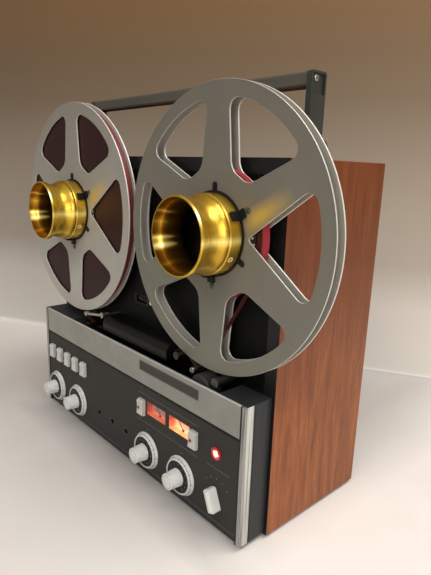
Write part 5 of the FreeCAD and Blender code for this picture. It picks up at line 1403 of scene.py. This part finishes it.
def set_camera():
    data = bpy.data.cameras.new("camera")
    camera = placed("camera", data)
    azimuth, dip, roll = (math.radians(angle) for angle in (CAMERA_AZIMUTH, CAMERA_DIP, CAMERA_ROLL))
    ahead = Vector((-math.sin(azimuth) * math.cos(dip), math.cos(azimuth) * math.cos(dip), -math.sin(dip)))
    level = Vector((math.cos(azimuth), math.sin(azimuth), 0))
    above = level.cross(ahead)
    right = level * math.cos(roll) + above * math.sin(roll)
    up = above * math.cos(roll) - level * math.sin(roll)
    turn = Matrix((right, up, -ahead)).transposed()
    camera.matrix_world = Matrix.Translation(CAMERA_PLACE) @ turn.to_4x4()
    data.sensor_width = SENSOR
    data.lens = FOCAL_PIXELS * SENSOR / PHOTO_HEIGHT
    data.shift_x = (PHOTO_WIDTH / 2 - OPTICAL_CENTRE[0]) / PHOTO_HEIGHT
    data.shift_y = (OPTICAL_CENTRE[1] - PHOTO_HEIGHT / 2) / PHOTO_HEIGHT
    data.clip_start = 0.01
    bpy.context.scene.camera = camera


def stage_paint():
    """Pale paint with painted shade: the floor is in shade close to the object and darker to the left; the
    wall is darker and browner at its top and left.
    """
    finish = Finish("stage_paint", paint(232, 226, 218), 0.75, Specular_IOR_Level=0.2)
    x, y, z = finish.parts()
    turn = math.radians(WALL_TURN)
    aside = x * math.cos(turn) + y * math.sin(turn)
    # painted shade: the wall darkens and browns towards its top and its left
    wall = finish.ramp(finish.rescale(z, 0.0, 0.62), *WALL_SHADE_TONES)
    wall = finish.mix(finish.rescale(aside, *WALL_SHADE_FADE), BLACK, wall)
    floor = finish.mix(finish.noise(finish.place, 14, 4), paint(224, 216, 209), paint(233, 227, 221))
    # painted shade: the floor darkens towards the left
    floor = finish.mix(finish.rescale(aside, *FLOOR_SHADE_FADE), BLACK, floor)
    # painted shadow on the floor in front of and beside the object
    ahead = finish.rescale(y * -1.0, *SHADE_AHEAD, SHADE_DEPTH, 1.0)
    beside = finish.rescale(abs(x), *SHADE_BESIDE, SHADE_DEPTH, 1.0)
    floor = finish.mix(finish.maths("MAXIMUM", ahead, beside), BLACK, floor)
    finish.give("Base Color", finish.mix(z > WALL_CURVE / 2, floor, wall))
    finish.bump(finish.noise(finish.place, 420, 2), 0.0001)
    return finish.material


def make_stage():
    """A table in front of a plain wall."""
    profile = [(STAGE_FRONT, 0.0), (WALL_DISTANCE - WALL_CURVE, 0.0)]
    profile += arc((WALL_DISTANCE - WALL_CURVE, WALL_CURVE), WALL_CURVE, -math.pi / 2, 0, 8)[1:]
    profile.append((WALL_DISTANCE, WALL_HEIGHT))
    shape = bmesh.new()
    turn = Matrix.Rotation(math.radians(WALL_TURN), 4, "Z")
    rows = [[shape.verts.new(turn @ Vector((x, y, z))) for x in (-STAGE_HALF_WIDTH, STAGE_HALF_WIDTH)]
            for y, z in profile]
    for first, second in zip(rows, rows[1:]):
        shape.faces.new((first[0], first[1], second[1], second[0]))
    stage = placed_shape(shape, "stage", stage_paint(), True)


def add_light(name, place, target, size, power, colour):
    data = bpy.data.lights.new(name, "AREA")
    data.shape = "RECTANGLE"
    data.size, data.size_y = size
    data.energy = power
    data.color = colour
    light = placed(name, data)
    light.location = place
    light.rotation_euler = (Vector(target) - Vector(place)).to_track_quat("-Z", "Y").to_euler()


def set_light():
    world = bpy.data.worlds.new("room")
    world.use_nodes = True
    bpy.context.scene.world = world
    room = Nodes(world.node_tree, "Generated")
    height = room.rescale(room.parts()[2], *SKY_HEIGHTS)
    background = world.node_tree.nodes["Background"]
    room.feed(background.inputs["Color"], room.ramp(height, *SKY_TONES))
    room.feed(background.inputs["Strength"], SKY_STRENGTH)
    for light in LIGHTS:
        add_light(*light)


bpy.context.scene.view_settings.view_transform = "Standard"
set_camera()
make_stage()
set_light()
dress_model()
print_panel()
for control in CONTROLS:
    print_dial(control)
dress_nameplate()
dress_meters()
dress_counter()
for reel_side in SIDES:
    build_reel(reel_side)
    build_adapter(reel_side)
    dress_reel_screws(reel_side)
dress_screws()
add_tape()
